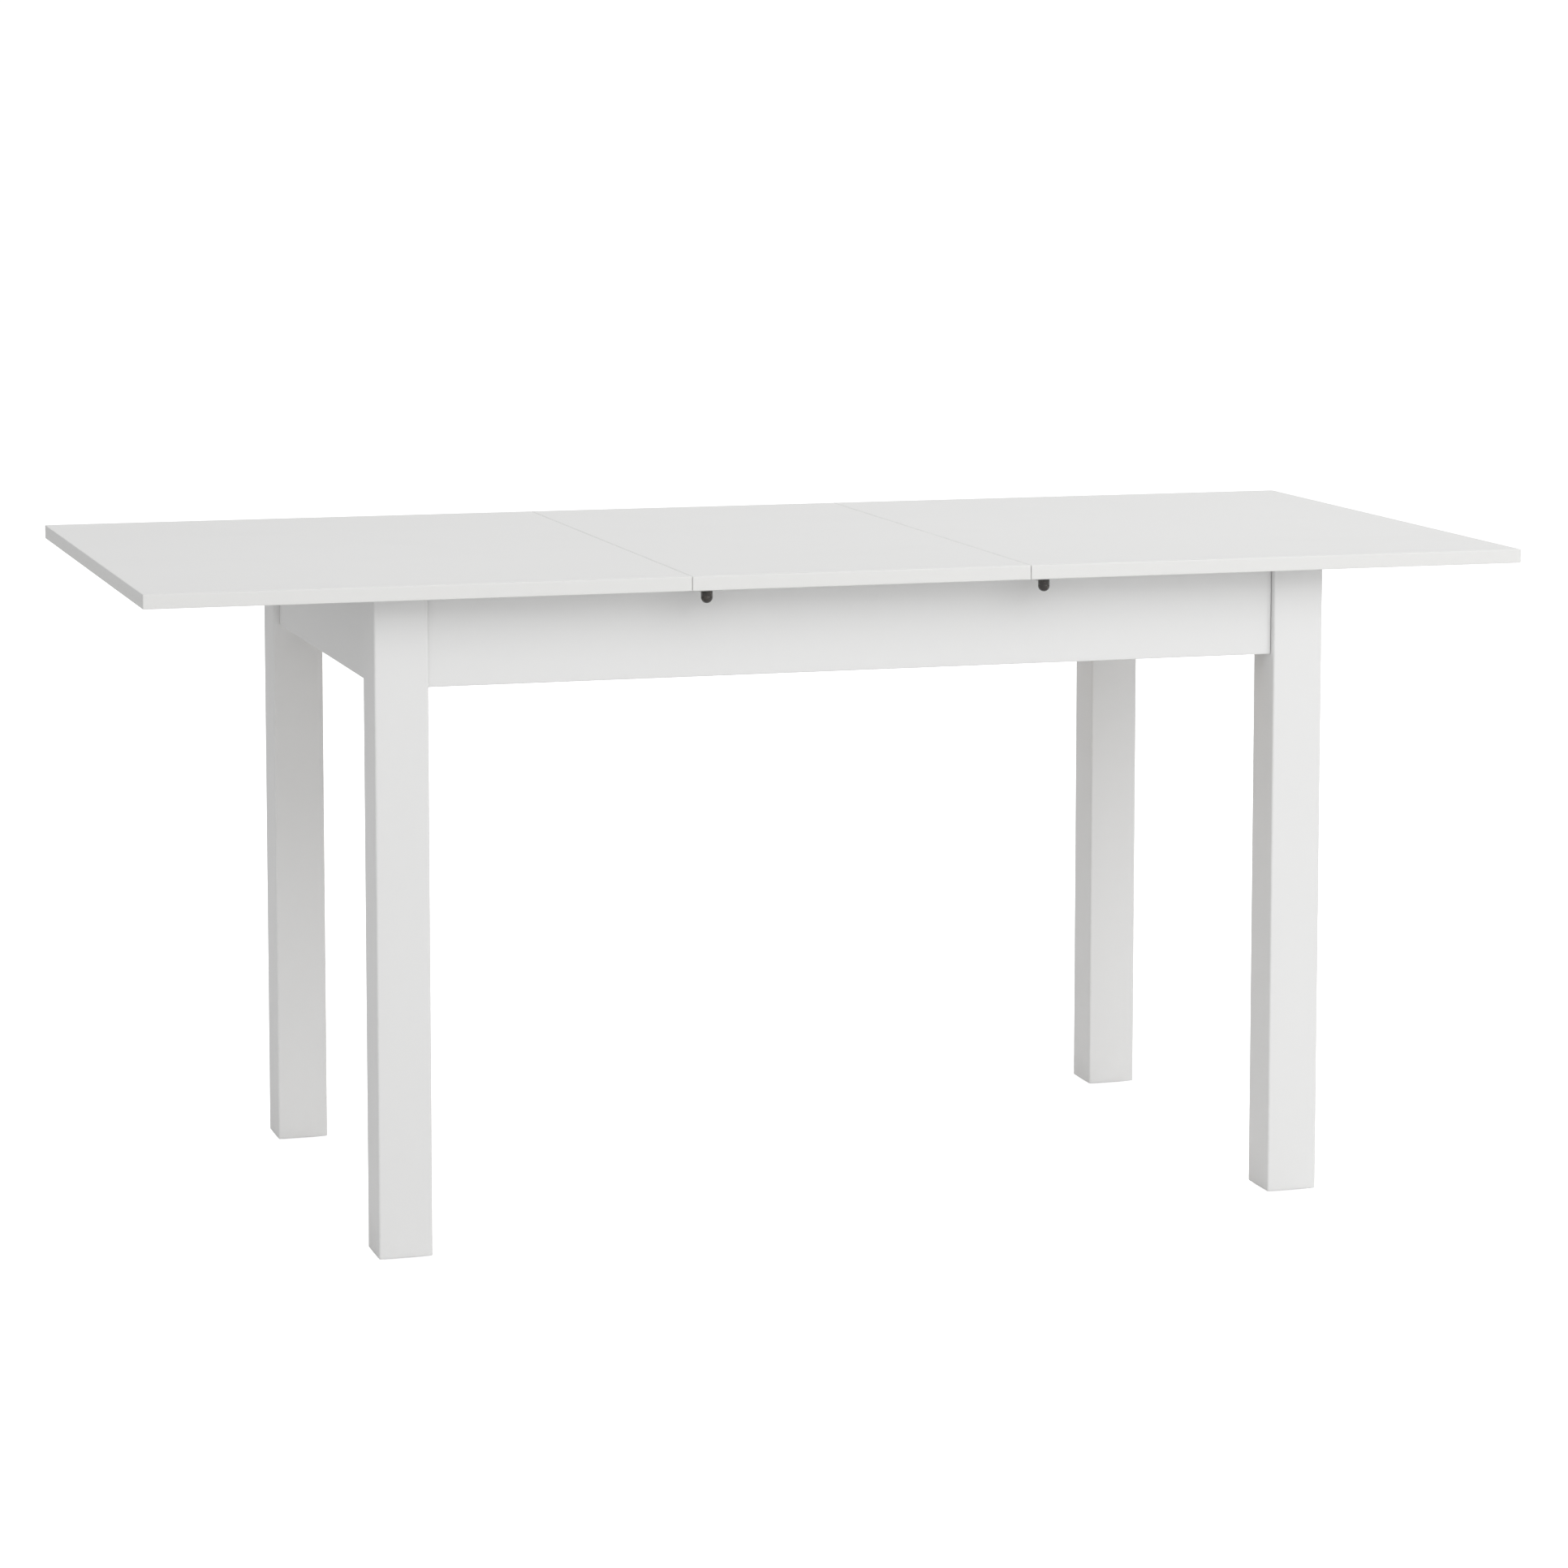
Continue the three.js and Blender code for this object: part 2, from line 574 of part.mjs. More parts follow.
// A flat plate under the neighbouring piece, drawn from the pivot. Its slot follows the path of
// the tab, and the lip left between the slot and the seam is what the tab bears on.
function keeperGeometry(side) {
  const inwards = -side;
  const seamEdge = -(CATCH_SEAM_OFFSET + KEEPER_SEAM_OFFSET);
  const farEdge = seamEdge - KEEPER_LENGTH;
  const near = KEEPER_PIVOT_OFFSET;
  const deep = near + KEEPER_DEPTH;
  const outline = [[farEdge, near], [seamEdge, near], [seamEdge, deep], [farEdge, deep]];
  const plate = new THREE.Shape(outline.map(([x, y]) => new THREE.Vector2(x, inwards * y)));
  for (const step of [-1, 1]) {
    const y = near + KEEPER_DEPTH / 2 + (step * KEEPER_SCREW_SPACING) / 2;
    const x = farEdge + KEEPER_SCREW_INSET;
    plate.holes.push(circlePath(x, inwards * y, CATCH_SCREW_HOLE_RADIUS));
  }
  const innerRadius = tabInner - KEEPER_SLOT_CLEARANCE;
  const outerRadius = Math.hypot(armLength, ARM_WIDTH / 2) + KEEPER_SLOT_CLEARANCE;
  const tabHalfAngle = Math.asin(ARM_WIDTH / 2 / tabInner) + KEEPER_SLOT_CLEARANCE / tabInner;
  const slotStart = lockAngle - tabHalfAngle;
  const slotSweep = Math.PI / 2 - slotStart;
  const outerArc = [];
  const innerArc = [];
  for (let i = 0; i <= KEEPER_SLOT_STEPS; i += 1) {
    const angle = slotStart + (slotSweep * i) / KEEPER_SLOT_STEPS;
    const along = -Math.cos(angle);
    const across = inwards * Math.sin(angle);
    outerArc.push(new THREE.Vector2(outerRadius * along, outerRadius * across));
    innerArc.unshift(new THREE.Vector2(innerRadius * along, innerRadius * across));
  }
  const slot = new THREE.Shape([...outerArc, ...innerArc]);
  const plateBody = new THREE.ExtrudeGeometry(plate, {
    depth: KEEPER_PLATE,
    bevelEnabled: false,
    curveSegments: CORNER_SEGMENTS * 2,
  });
  const slotBody = new THREE.ExtrudeGeometry(slot, {
    depth: 3 * KEEPER_PLATE,
    bevelEnabled: false,
  });
  slotBody.translate(0, 0, -KEEPER_PLATE);
  return toGeometry(toSolid(plateBody).subtract(toSolid(slotBody)));
}

const darkKnob = () => material(0x35322f, 0.25);

// The left piece of each seam carries the keeper and the right piece carries the catch.
const seams = {
  leaf: { x: -LEAF_LENGTH / 2, keeper: "left" },
  right: { x: LEAF_LENGTH / 2, keeper: "leaf" },
};
for (const [owner, seam] of Object.entries(seams)) {
  const pivotX = seam.x + CATCH_SEAM_OFFSET;
  for (const [side, sideSign] of Object.entries(sides)) {
    const pivotY = sideSign * catchY;
    const arm = armGeometry();
    const knob = knobGeometry();
    if (side === "back") {
      arm.rotateZ(Math.PI);
      knob.rotateZ(Math.PI);
    }
    const keeper = keeperGeometry(sideSign);
    const label = `${owner}_${side}`;
    addMesh(table, `catch_plate_${label}`, catchPlate(), zinc(), pivotX, pivotY, plateBottom);
    addMesh(table, `catch_arm_${label}`, arm, zinc(), pivotX, pivotY, armBottom);
    addMesh(table, `catch_knob_${label}`, knob, darkKnob(), pivotX, pivotY, topUnderside);
    const keeperName = `keeper_${seam.keeper}_${side}`;
    addMesh(table, keeperName, keeper, zinc(), pivotX, pivotY, keeperBottom);
  }
}

export default table;
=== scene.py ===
# %% [markdown]
# # An extendable dining table
# The table is a white four-legged frame with a top in three pieces: two halves that slide apart on
# wooden runners, and a loose leaf laid in the gap. The shapes that decide how it moves are already
# packed as a fixed frame. This lesson puts a fine surface and a finish on each of those pieces, and
# adds the small hardware that holds them together.

# %% Load the fixed frame
import json
import math

import bmesh
import bpy
import numpy as np
from mathutils import Matrix, Vector

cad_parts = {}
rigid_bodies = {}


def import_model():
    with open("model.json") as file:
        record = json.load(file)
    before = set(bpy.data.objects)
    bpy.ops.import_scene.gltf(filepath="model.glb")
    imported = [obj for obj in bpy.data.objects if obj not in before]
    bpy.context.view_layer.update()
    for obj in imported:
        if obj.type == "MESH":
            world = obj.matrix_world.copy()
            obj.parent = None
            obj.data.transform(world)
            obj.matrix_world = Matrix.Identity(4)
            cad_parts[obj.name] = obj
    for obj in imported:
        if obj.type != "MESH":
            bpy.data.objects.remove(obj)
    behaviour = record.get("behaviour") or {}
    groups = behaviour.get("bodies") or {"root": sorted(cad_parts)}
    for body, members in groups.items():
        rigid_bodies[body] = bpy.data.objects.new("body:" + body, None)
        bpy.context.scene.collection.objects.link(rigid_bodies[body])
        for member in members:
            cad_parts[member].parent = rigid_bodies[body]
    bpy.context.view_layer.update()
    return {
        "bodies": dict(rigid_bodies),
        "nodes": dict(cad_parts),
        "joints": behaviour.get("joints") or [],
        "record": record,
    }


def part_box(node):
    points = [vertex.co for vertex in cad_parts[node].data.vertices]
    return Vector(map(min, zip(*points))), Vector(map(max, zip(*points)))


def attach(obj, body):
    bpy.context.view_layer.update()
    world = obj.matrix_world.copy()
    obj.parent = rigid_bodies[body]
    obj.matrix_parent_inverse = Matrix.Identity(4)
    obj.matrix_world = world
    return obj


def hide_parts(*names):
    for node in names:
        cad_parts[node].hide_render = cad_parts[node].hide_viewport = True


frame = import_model()
record = frame["record"]
body_of = {node: body for body, nodes in record["behaviour"]["bodies"].items() for node in nodes}
pivot_of = {j["child"]: Vector(j["pos_m"]) for j in frame["joints"] if j["type"] == "hinge"}
MM = 0.001

# %% [markdown]
# ## Writing materials as arithmetic
# A material is a graph of nodes, and wiring it by hand hides the idea. One small class wraps a
# socket, so that `1 - wear * 0.3` adds its own Math nodes. Every other node comes from one method.

# %% Sockets that can be added and multiplied
class Value:
    """One output in a material, usable in ordinary arithmetic."""

    def __init__(self, graph, socket):
        self.graph, self.socket = graph, socket

    def _math(self, operation, first, second):
        return self.graph.node("ShaderNodeMath", {"operation": operation}, {0: first, 1: second})[0]

    def __add__(self, other):
        return self._math("ADD", self, other)

    def __radd__(self, other):
        return self._math("ADD", other, self)

    def __sub__(self, other):
        return self._math("SUBTRACT", self, other)

    def __rsub__(self, other):
        return self._math("SUBTRACT", other, self)

    def __mul__(self, other):
        return self._math("MULTIPLY", self, other)


class Made:
    """A node that is in place; its outputs come back by name or by number."""

    def __init__(self, graph, made):
        self.graph, self.made = graph, made

    def __getitem__(self, key):
        return Value(self.graph, self.made.outputs[key])


# %% The graph of one material
class Graph:
    """Builds one material from a Principled shader outwards."""

    def __init__(self, name):
        self.material = bpy.data.materials.new(name)
        self.material.use_nodes = True
        self.tree = self.material.node_tree
        self.shader = self.tree.nodes["Principled BSDF"]

    def node(self, kind, settings=None, sockets=None):
        made = self.tree.nodes.new(kind)
        for key, value in (settings or {}).items():
            setattr(made, key, value)
        for key, value in (sockets or {}).items():
            if isinstance(value, Value):
                self.tree.links.new(value.socket, made.inputs[key])
            else:
                made.inputs[key].default_value = value
        return Made(self, made)

    def place(self, scale=(1, 1, 1)):
        """Where a point is, in metres, stretched or squeezed along each axis."""
        where = self.node("ShaderNodeTexCoord")["Object"]
        return self.node("ShaderNodeMapping", {}, {"Vector": where, "Scale": scale})[0]

    def noise(self, vector, scale, detail=3.0, roughness=0.5):
        sockets = {"Vector": vector, "Scale": scale, "Detail": detail, "Roughness": roughness}
        return self.node("ShaderNodeTexNoise", {}, sockets)[0]

    def between(self, value, low, high):
        """0 below low, 1 above high, and a smooth step in between."""
        sockets = {0: value, 1: low, 2: high, 3: 0.0, 4: 1.0}
        return self.node("ShaderNodeMapRange", {"interpolation_type": "SMOOTHSTEP"}, sockets)[0]

    def blend(self, amount, first, second):
        """A colour between two colours."""
        sockets = {0: amount, 6: _shade(first), 7: _shade(second)}
        return self.node("ShaderNodeMix", {"data_type": "RGBA"}, sockets)[2]

    def worn(self):
        """1 on the narrow faces of eased edges, 0 on the broad ones."""
        return self.node("ShaderNodeAttribute", {"attribute_name": "worn_edge"})["Fac"]

    def bump(self, height, strength, distance):
        sockets = {"Height": height, "Strength": strength, "Distance": distance}
        return self.node("ShaderNodeBump", {}, sockets)[0]

    def finish(self, **sockets):
        for name, value in sockets.items():
            socket = self.shader.inputs[name.replace("_", " ")]
            if isinstance(value, Value):
                self.tree.links.new(value.socket, socket)
            else:
                socket.default_value = value
        return self.material


def _shade(colour):
    return colour if isinstance(colour, Value) else (*colour, 1)


# %% [markdown]
# ## White board
# The top is particle board faced with melamine paper. Up close its face has a shallow pearl texture
# about a millimetre across, it is never one even white, and hands and plates polish some patches
# more than others. Noise at three scales gives those three things, and a trace of scuffing and of
# rubbed edges lies over them. The edge band is the same material, a shade darker and less shiny.

# %% Melamine face
SCUFFED, RUBBED_BOARD = (0.62, 0.61, 0.59), (0.66, 0.655, 0.64)


def melamine(name, light, dark, shine):
    g = Graph(name)
    here = g.place()
    broad = g.noise(here, 1.7, 3)
    pearl = g.noise(here, 850, 2, 0.6)
    smudge = g.between(g.noise(here, 9, 5, 0.6), 0.48, 0.7)
    drag = g.place((6, 120, 120))
    scuff = g.between(g.noise(drag, 2.3, 4, 0.7), 0.70, 0.80)
    colour = g.blend(broad, dark, light)
    colour = g.blend(scuff * 0.05, colour, SCUFFED)
    rub = g.worn() * g.between(g.noise(here, 38, 4, 0.7), 0.45, 0.7)
    colour = g.blend(rub * 0.14, colour, RUBBED_BOARD)
    rough = shine + pearl * 0.02 + smudge * 0.03 + scuff * 0.04
    return g.finish(Base_Color=colour, Roughness=rough, Normal=g.bump(pearl, 0.04, 0.00002))


white_board = melamine("white_board", (0.83, 0.83, 0.822), (0.80, 0.80, 0.79), 0.30)
edge_band = melamine("edge_band", (0.82, 0.82, 0.808), (0.79, 0.788, 0.775), 0.34)
print("white board and its edge band")

# %% [markdown]
# ## White lacquer
# The frame is sprayed. Spray dries with a soft orange peel of one to two millimetres, and the
# grain of the wood under it shows as very faint long ridges. Edges rub through first. Near the
# floor the lacquer is painted very slightly darker in patches, as painted shade for the feet.

# %% Lacquer along one direction of grain
LACQUER_DARK, LACQUER_LIGHT = (0.805, 0.805, 0.80), (0.825, 0.825, 0.82)
# The first colour here is painted shade, laid over the lacquer near the floor.
FLOOR_SHADE_TONE, RUBBED_LACQUER = (0.55, 0.53, 0.50), (0.67, 0.66, 0.64)
FLOOR_SHADE_HEIGHT = 0.07


def lacquer(name, grain_scale):
    g = Graph(name)
    here = g.place()
    broad = g.noise(here, 2.6, 3)
    peel = g.noise(here, 520, 2, 0.5)
    grain = g.noise(g.place(grain_scale), 3.0, 4, 0.6)
    height = g.node("ShaderNodeSeparateXYZ", {}, {0: here})["Z"]
    # Painted shade: the lowest few centimetres are darkened in patches to stand in for the dimmer
    # light near the floor.
    low = 1 - g.between(height, 0.0, FLOOR_SHADE_HEIGHT)
    floor_shade = low * g.between(g.noise(here, 30, 5, 0.65), 0.4, 0.75)
    rub = g.worn() * g.between(g.noise(here, 45, 4, 0.7), 0.46, 0.68)
    colour = g.blend(broad, LACQUER_DARK, LACQUER_LIGHT)
    colour = g.blend(floor_shade * 0.08, colour, FLOOR_SHADE_TONE)
    colour = g.blend(rub * 0.14, colour, RUBBED_LACQUER)
    relief = peel * 0.6 + grain * 0.8
    rough = 0.30 + grain * 0.06 + peel * 0.04 + floor_shade * 0.2
    return g.finish(Base_Color=colour, Roughness=rough, Normal=g.bump(relief, 0.2, 0.00006))


lacquer_upright = lacquer("white_lacquer_upright", (90, 90, 4))
lacquer_long = lacquer("white_lacquer_long", (4, 90, 90))
lacquer_across = lacquer("white_lacquer_across", (90, 4, 90))
print("lacquer for the legs and both directions of apron")

# %% [markdown]
# ## Raw pine
# A plank is cut from a log, so its rings are cylinders around a line that runs along the grain.
# Measuring the distance to that line draws long streaks on the sides and arcs on the ends, with no
# extra work. Fine fibres and a few knots lie over them.

# %% Pine with its rings along X or along Y
PITH_SIDE, PITH_HEIGHT, RINGS_A_METRE = -0.043, 0.642, 260
EARLY_WOOD, LATE_WOOD, FIBRE = (0.66, 0.47, 0.26), (0.45, 0.27, 0.12), (0.74, 0.57, 0.36)
KNOT, WORN_WOOD = (0.20, 0.095, 0.04), (0.42, 0.29, 0.16)


def drawn_out(along, slow, fast):
    """Scales for a pattern that changes slowly along the grain and fast across it."""
    return (slow, fast, fast) if along == "X" else (fast, slow, fast)


def pine(name, along):
    g = Graph(name)
    here = g.place()
    parts = g.node("ShaderNodeSeparateXYZ", {}, {0: here})
    side = parts["Y"] if along == "X" else parts["X"]
    drift = g.noise(g.place(drawn_out(along, 2.2, 14)), 1.0, 3)
    wide = side - PITH_SIDE + drift * 0.012
    tall = parts["Z"] - PITH_HEIGHT + drift * 0.009
    spread = wide * wide + tall * tall
    radius = g.node("ShaderNodeMath", {"operation": "SQRT"}, {0: spread})[0]
    ring = g.node("ShaderNodeMath", {"operation": "FRACT"}, {0: radius * RINGS_A_METRE})[0]
    late = g.between(ring, 0.45, 0.97)
    fibre = g.noise(g.place(drawn_out(along, 9, 900)), 1.0, 4, 0.7)
    cells = {"Vector": g.place(drawn_out(along, 5, 16)), "Scale": 1.0}
    knot = 1 - g.between(g.node("ShaderNodeTexVoronoi", {}, cells)["Distance"], 0.05, 0.13)
    colour = g.blend(late * 0.75, EARLY_WOOD, LATE_WOOD)
    colour = g.blend(fibre * 0.35, colour, FIBRE)
    colour = g.blend(knot * 0.8, colour, KNOT)
    colour = g.blend(g.worn() * 0.3, colour, WORN_WOOD)
    relief = late * 0.5 + fibre * 0.7 + knot * 0.4
    rough = 0.66 + fibre * 0.14 - late * 0.07
    return g.finish(Base_Color=colour, Roughness=rough, Normal=g.bump(relief, 0.35, 0.00015))


pine_long = pine("raw_pine_long", "X")
pine_across = pine("raw_pine_across", "Y")
print("pine for the rails and runners, and for the cross rails")

# %% [markdown]
# ## Zinc-plated steel, nylon and the dark knobs
# Plating follows the rolled strip, so its roughness runs in one direction, and the passivation
# leaves faint bluish and yellowish clouds. Nylon is even but speckled. The knobs are moulded dark
# and glossy, with a slight uneven haze from handling.

# %% Plated steel
def steel(name, tone, roughness):
    g = Graph(name)
    here = g.place()
    cloud = g.noise(here, 34, 3)
    rolled = g.noise(g.place((30, 900, 900)), 1.0, 3, 0.6)
    spot = g.between(g.noise(here, 210, 3, 0.6), 0.62, 0.72)
    colour = g.blend(cloud, (tone * 0.94, tone * 0.97, tone), (tone, tone * 0.97, tone * 0.9))
    colour = g.blend(spot * 0.5, colour, (tone * 0.55, tone * 0.54, tone * 0.52))
    colour = g.blend(g.worn() * 0.5, colour, (0.78, 0.79, 0.80))
    rough = roughness + rolled * 0.14 + spot * 0.2
    return g.finish(
        Base_Color=colour, Metallic=1.0, Roughness=rough, Normal=g.bump(rolled, 0.15, 0.00003)
    )


zinc_steel = steel("zinc_steel", 0.62, 0.26)
screw_steel = steel("screw_steel", 0.50, 0.30)

# %% Nylon and knob
def nylon():
    g = Graph("pale_nylon")
    here = g.place()
    speck = g.noise(here, 420, 3, 0.6)
    track = g.between(g.noise(g.place((3, 260, 40)), 1.0, 4, 0.6), 0.5, 0.72)
    colour = g.blend(speck, (0.72, 0.70, 0.65), (0.79, 0.775, 0.735))
    colour = g.blend(track * 0.4, colour, (0.55, 0.53, 0.49))
    rough = 0.42 + speck * 0.12 - track * 0.1
    return g.finish(Base_Color=colour, Roughness=rough, Normal=g.bump(speck, 0.2, 0.00005))


def knob_plastic():
    g = Graph("dark_knob")
    here = g.place()
    haze = g.between(g.noise(here, 160, 4, 0.6), 0.45, 0.7)
    grain = g.noise(here, 1500, 2)
    colour = g.blend(haze * 0.6, (0.030, 0.026, 0.023), (0.058, 0.046, 0.038))
    rough = 0.16 + haze * 0.12 + grain * 0.03
    return g.finish(
        Base_Color=colour, Roughness=rough, Normal=g.bump(grain, 0.1, 0.00002), Coat_Weight=0.25
    )


pale_nylon = nylon()
dark_knob = knob_plastic()
print(len(bpy.data.materials), "materials")

# %% [markdown]
# ## Handling pieces
# Each finished piece is one mesh at the origin. These helpers mark the narrow faces that wear,
# hand the piece to its body, and hide the imported node it stands for.

# %% Mark and hand over a piece
WORN_WIDTH, SMOOTH_ANGLE = 0.9 * MM, 28


def loose_object(mesh, name="work"):
    obj = bpy.data.objects.new(name, mesh)
    bpy.context.scene.collection.objects.link(obj)
    return obj


def mark_worn(mesh, widest):
    """Faces narrower than widest are eased edges, where a finish wears first."""
    worn = []
    for face in mesh.polygons:
        corners = [mesh.vertices[i].co for i in face.vertices]
        longest = max((a - b).length for a, b in zip(corners, corners[1:] + corners[:1]))
        worn.append(1.0 if longest > 0 and face.area / longest < widest else 0.0)
    mesh.attributes.new("worn_edge", "FLOAT", "FACE").data.foreach_set("value", worn)


def hand_over(mesh, name, node, materials, widest=WORN_WIDTH, smooth=SMOOTH_ANGLE):
    """Makes an object of the mesh, rides it on the node's body and hides the node."""
    mark_worn(mesh, widest)
    # Clearing the materials puts every face on the first one, so each face's own is kept.
    chosen = [min(face.material_index, len(materials) - 1) for face in mesh.polygons]
    mesh.materials.clear()
    for material in materials:
        mesh.materials.append(material)
    mesh.polygons.foreach_set("material_index", chosen)
    mesh.polygons.foreach_set("use_smooth", [True] * len(mesh.polygons))
    mesh.set_sharp_from_angle(angle=math.radians(smooth))
    piece = loose_object(mesh, name)
    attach(piece, body_of[node])
    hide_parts(node)


def applied(obj):
    """The mesh an object's modifiers make; the object itself is then removed."""
    bpy.context.view_layer.update()
    seen = obj.evaluated_get(bpy.context.evaluated_depsgraph_get())
    mesh = bpy.data.meshes.new_from_object(seen)
    bpy.data.objects.remove(obj)
    return mesh


# %% [markdown]
# ## Boards and legs from rings
# A board is a stack of rounded rectangles. Each ring has an inset and a depth, so one list of
# pairs draws the whole edge: flat face, hairline joint of the edge band, soft arris, side. Extra
# rings close to the arris keep the shading of the broad faces perfectly flat.

# %% One ring, then a stack of them
ARC_STEPS, SHARPEST, SUPPORT, ROUNDING = 4, 0.05 * MM, 3 * MM, 1e-9


def ring(half_a, half_b, radius):
    """A rounded rectangle with a point a little way along each straight, for flat shading."""
    points = []
    for quarter, (sa, sb) in enumerate(((1, 1), (-1, 1), (-1, -1), (1, -1))):
        ca, cb = sa * (half_a - radius), sb * (half_b - radius)
        arc = []
        for i in range(ARC_STEPS + 1):
            angle = (quarter + i / ARC_STEPS) * math.pi / 2
            arc.append((ca + radius * math.cos(angle), cb + radius * math.sin(angle)))
        before = Vector((math.sin(quarter * math.pi / 2), -math.cos(quarter * math.pi / 2)))
        after = Vector((-math.cos(quarter * math.pi / 2), -math.sin(quarter * math.pi / 2)))
        points.append(tuple(Vector(arc[0]) + before * SUPPORT))
        points += arc
        points.append(tuple(Vector(arc[-1]) + after * SUPPORT))
    return points


def board_mesh(lo, hi, normal, corner, edge, band=None):
    """Stacks rings between two opposite broad faces; faces inside band get material 1."""
    n = "XYZ".index(normal)
    a, b = (n + 1) % 3, (n + 2) % 3
    middle, half = (lo + hi) / 2, (hi - lo) / 2
    stack = [(inset, -half[n] + depth) for inset, depth in edge]
    stack += [(inset, half[n] - depth) for inset, depth in reversed(edge)]
    bm = bmesh.new()
    loops = []
    for inset, level in stack:
        loop = []
        radius = max(corner - inset, SHARPEST)
        for pa, pb in ring(half[a] - inset, half[b] - inset, radius):
            co = middle.copy()
            co[a] += pa
            co[b] += pb
            co[n] += level
            loop.append(bm.verts.new(co))
        loops.append(loop)
    count = len(loops[0])
    for index, (low, high) in enumerate(zip(loops, loops[1:])):
        for i in range(count):
            j = (i + 1) % count
            face = bm.faces.new((low[i], low[j], high[j], high[i]))
            furthest_in = max(stack[index][0], stack[index + 1][0])
            if band is not None and furthest_in <= band + ROUNDING:
                face.material_index = 1
    bm.faces.new(list(reversed(loops[0])))
    bm.faces.new(loops[-1])
    bmesh.ops.recalc_face_normals(bm, faces=bm.faces)
    mesh = bpy.data.meshes.new("board")
    bm.to_mesh(mesh)
    bm.free()
    return mesh


def arris(radius, steps=4):
    """The quarter circle from the broad face round to the side."""
    turns = [i / steps * math.pi / 2 for i in range(steps + 1)]
    return [(radius * (1 - math.sin(t)), radius * (1 - math.cos(t))) for t in turns]


def plain_edge(face_ring, radius, side_ring):
    """An arris with one ring on the broad face before it and one down the side after it."""
    return [(face_ring, 0), *arris(radius), (0, side_ring)]


# %% [markdown]
# ### The three pieces of the top
# The face stops short of the edge, where a separate band is glued on. The joint between them is a
# hairline groove, and it is what tells a faced board from a painted one.

# %% Tabletop halves and leaf
BAND, TOP_CORNER, TOP_ARRIS = 0.8 * MM, 0.8 * MM, 0.6 * MM
GROOVE_FAR, GROOVE_DEEP, GROOVE_SLOPE = 0.92 * MM, 0.08 * MM, 0.05 * MM
FACE_RING, SIDE_RING, TOP_WORN = 4 * MM, 2.5 * MM, 0.35 * MM
groove = [
    (GROOVE_FAR + GROOVE_SLOPE, 0),
    (GROOVE_FAR, GROOVE_DEEP),
    (BAND, GROOVE_DEEP),
    (BAND - GROOVE_SLOPE, 0),
]
top_edge = [(FACE_RING, 0), *groove, *arris(TOP_ARRIS), (0, SIDE_RING)]
for node in ("tabletop_left", "insert_leaf", "tabletop_right"):
    lo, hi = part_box(node)
    mesh = board_mesh(lo, hi, "Z", TOP_CORNER, top_edge, band=BAND)
    hand_over(mesh, f"{node}_board", node, [white_board, edge_band], widest=TOP_WORN)
    print(node, [round(v / MM, 1) for v in hi - lo], "mm")

# %% [markdown]
# ### Aprons
# An apron is a plain board with its arrises sanded to about a millimetre before spraying.

# %% Long and end aprons
APRON_ARRIS = 1.0 * MM
apron_edge = plain_edge(face_ring=4 * MM, radius=APRON_ARRIS, side_ring=3 * MM)
for node, normal, coat in (
    ("apron_front", "Y", lacquer_long),
    ("apron_back", "Y", lacquer_long),
    ("apron_left", "X", lacquer_across),
    ("apron_right", "X", lacquer_across),
):
    lo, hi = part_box(node)
    hand_over(board_mesh(lo, hi, normal, APRON_ARRIS, apron_edge), f"{node}_board", node, [coat])

# %% [markdown]
# ### Legs
# A leg is a square post with rounded corners. The hole for its bolt is cut with a Boolean, because
# it meets the corner at 45 degrees and no ring could follow it.

# %% Legs with their bolt holes
CORNERS = {
    "front_left": (-1, -1),
    "front_right": (1, -1),
    "back_left": (-1, 1),
    "back_right": (1, 1),
}
BOLT_RADIUS, HOLE_RADIUS, HOLE_PAST_BOLT = 4.0 * MM, 4.4 * MM, 0.4 * MM
LEG_CORNER, LEG_ARRIS = 2.2 * MM, 1.2 * MM
leg_edge = plain_edge(face_ring=5 * MM, radius=LEG_ARRIS, side_ring=4 * MM)


def bolt_line(corner):
    """The bolt's two ends, the one in the leg first, found from its box."""
    sx, sy = CORNERS[corner]
    lo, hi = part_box(f"leg_bolt_{corner}")
    reach = BOLT_RADIUS / math.sqrt(2)
    far = Vector((hi.x if sx > 0 else lo.x, hi.y if sy > 0 else lo.y, (lo.z + hi.z) / 2))
    near = Vector((lo.x if sx > 0 else hi.x, lo.y if sy > 0 else hi.y, (lo.z + hi.z) / 2))
    step = Vector((sx, sy, 0)) * reach
    return far - step, near + step


def rod_mesh(start, end, radius, sides=32):
    bm = bmesh.new()
    length = (end - start).length
    bmesh.ops.create_cone(
        bm, cap_ends=True, segments=sides, radius1=radius, radius2=radius, depth=length
    )
    turn = (end - start).to_track_quat("Z", "Y").to_matrix().to_4x4()
    bm.transform(Matrix.Translation((start + end) / 2) @ turn)
    mesh = bpy.data.meshes.new("rod")
    bm.to_mesh(mesh)
    bm.free()
    return mesh


def cut_away(mesh, cutter_mesh):
    """The first mesh with the second one taken out of it."""
    body, cutter = loose_object(mesh), loose_object(cutter_mesh, "cutter")
    cut = body.modifiers.new("cut", "BOOLEAN")
    cut.operation, cut.solver, cut.object = "DIFFERENCE", "EXACT", cutter
    result = applied(body)
    bpy.data.objects.remove(cutter)
    return result


for corner in CORNERS:
    node = f"leg_{corner}"
    lo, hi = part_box(node)
    start, end = bolt_line(corner)
    start = start - (end - start).normalized() * HOLE_PAST_BOLT
    post = board_mesh(lo, hi, "Z", LEG_CORNER, leg_edge)
    drilled = cut_away(post, rod_mesh(start, end, HOLE_RADIUS))
    hand_over(drilled, f"{node}_post", node, [lacquer_upright])
    print(node, [round(v / MM, 1) for v in hi - lo], "mm")

# %% [markdown]
# ## Pressed and planed pieces
# Rails, runners, braces and catch plates already have the right outline, but razor-sharp edges. A
# copy is merged, its flat faces are joined up, and a Bevel breaks the edges as a file or a plane
# would: a little over half a millimetre on wood, and only a touch on steel.

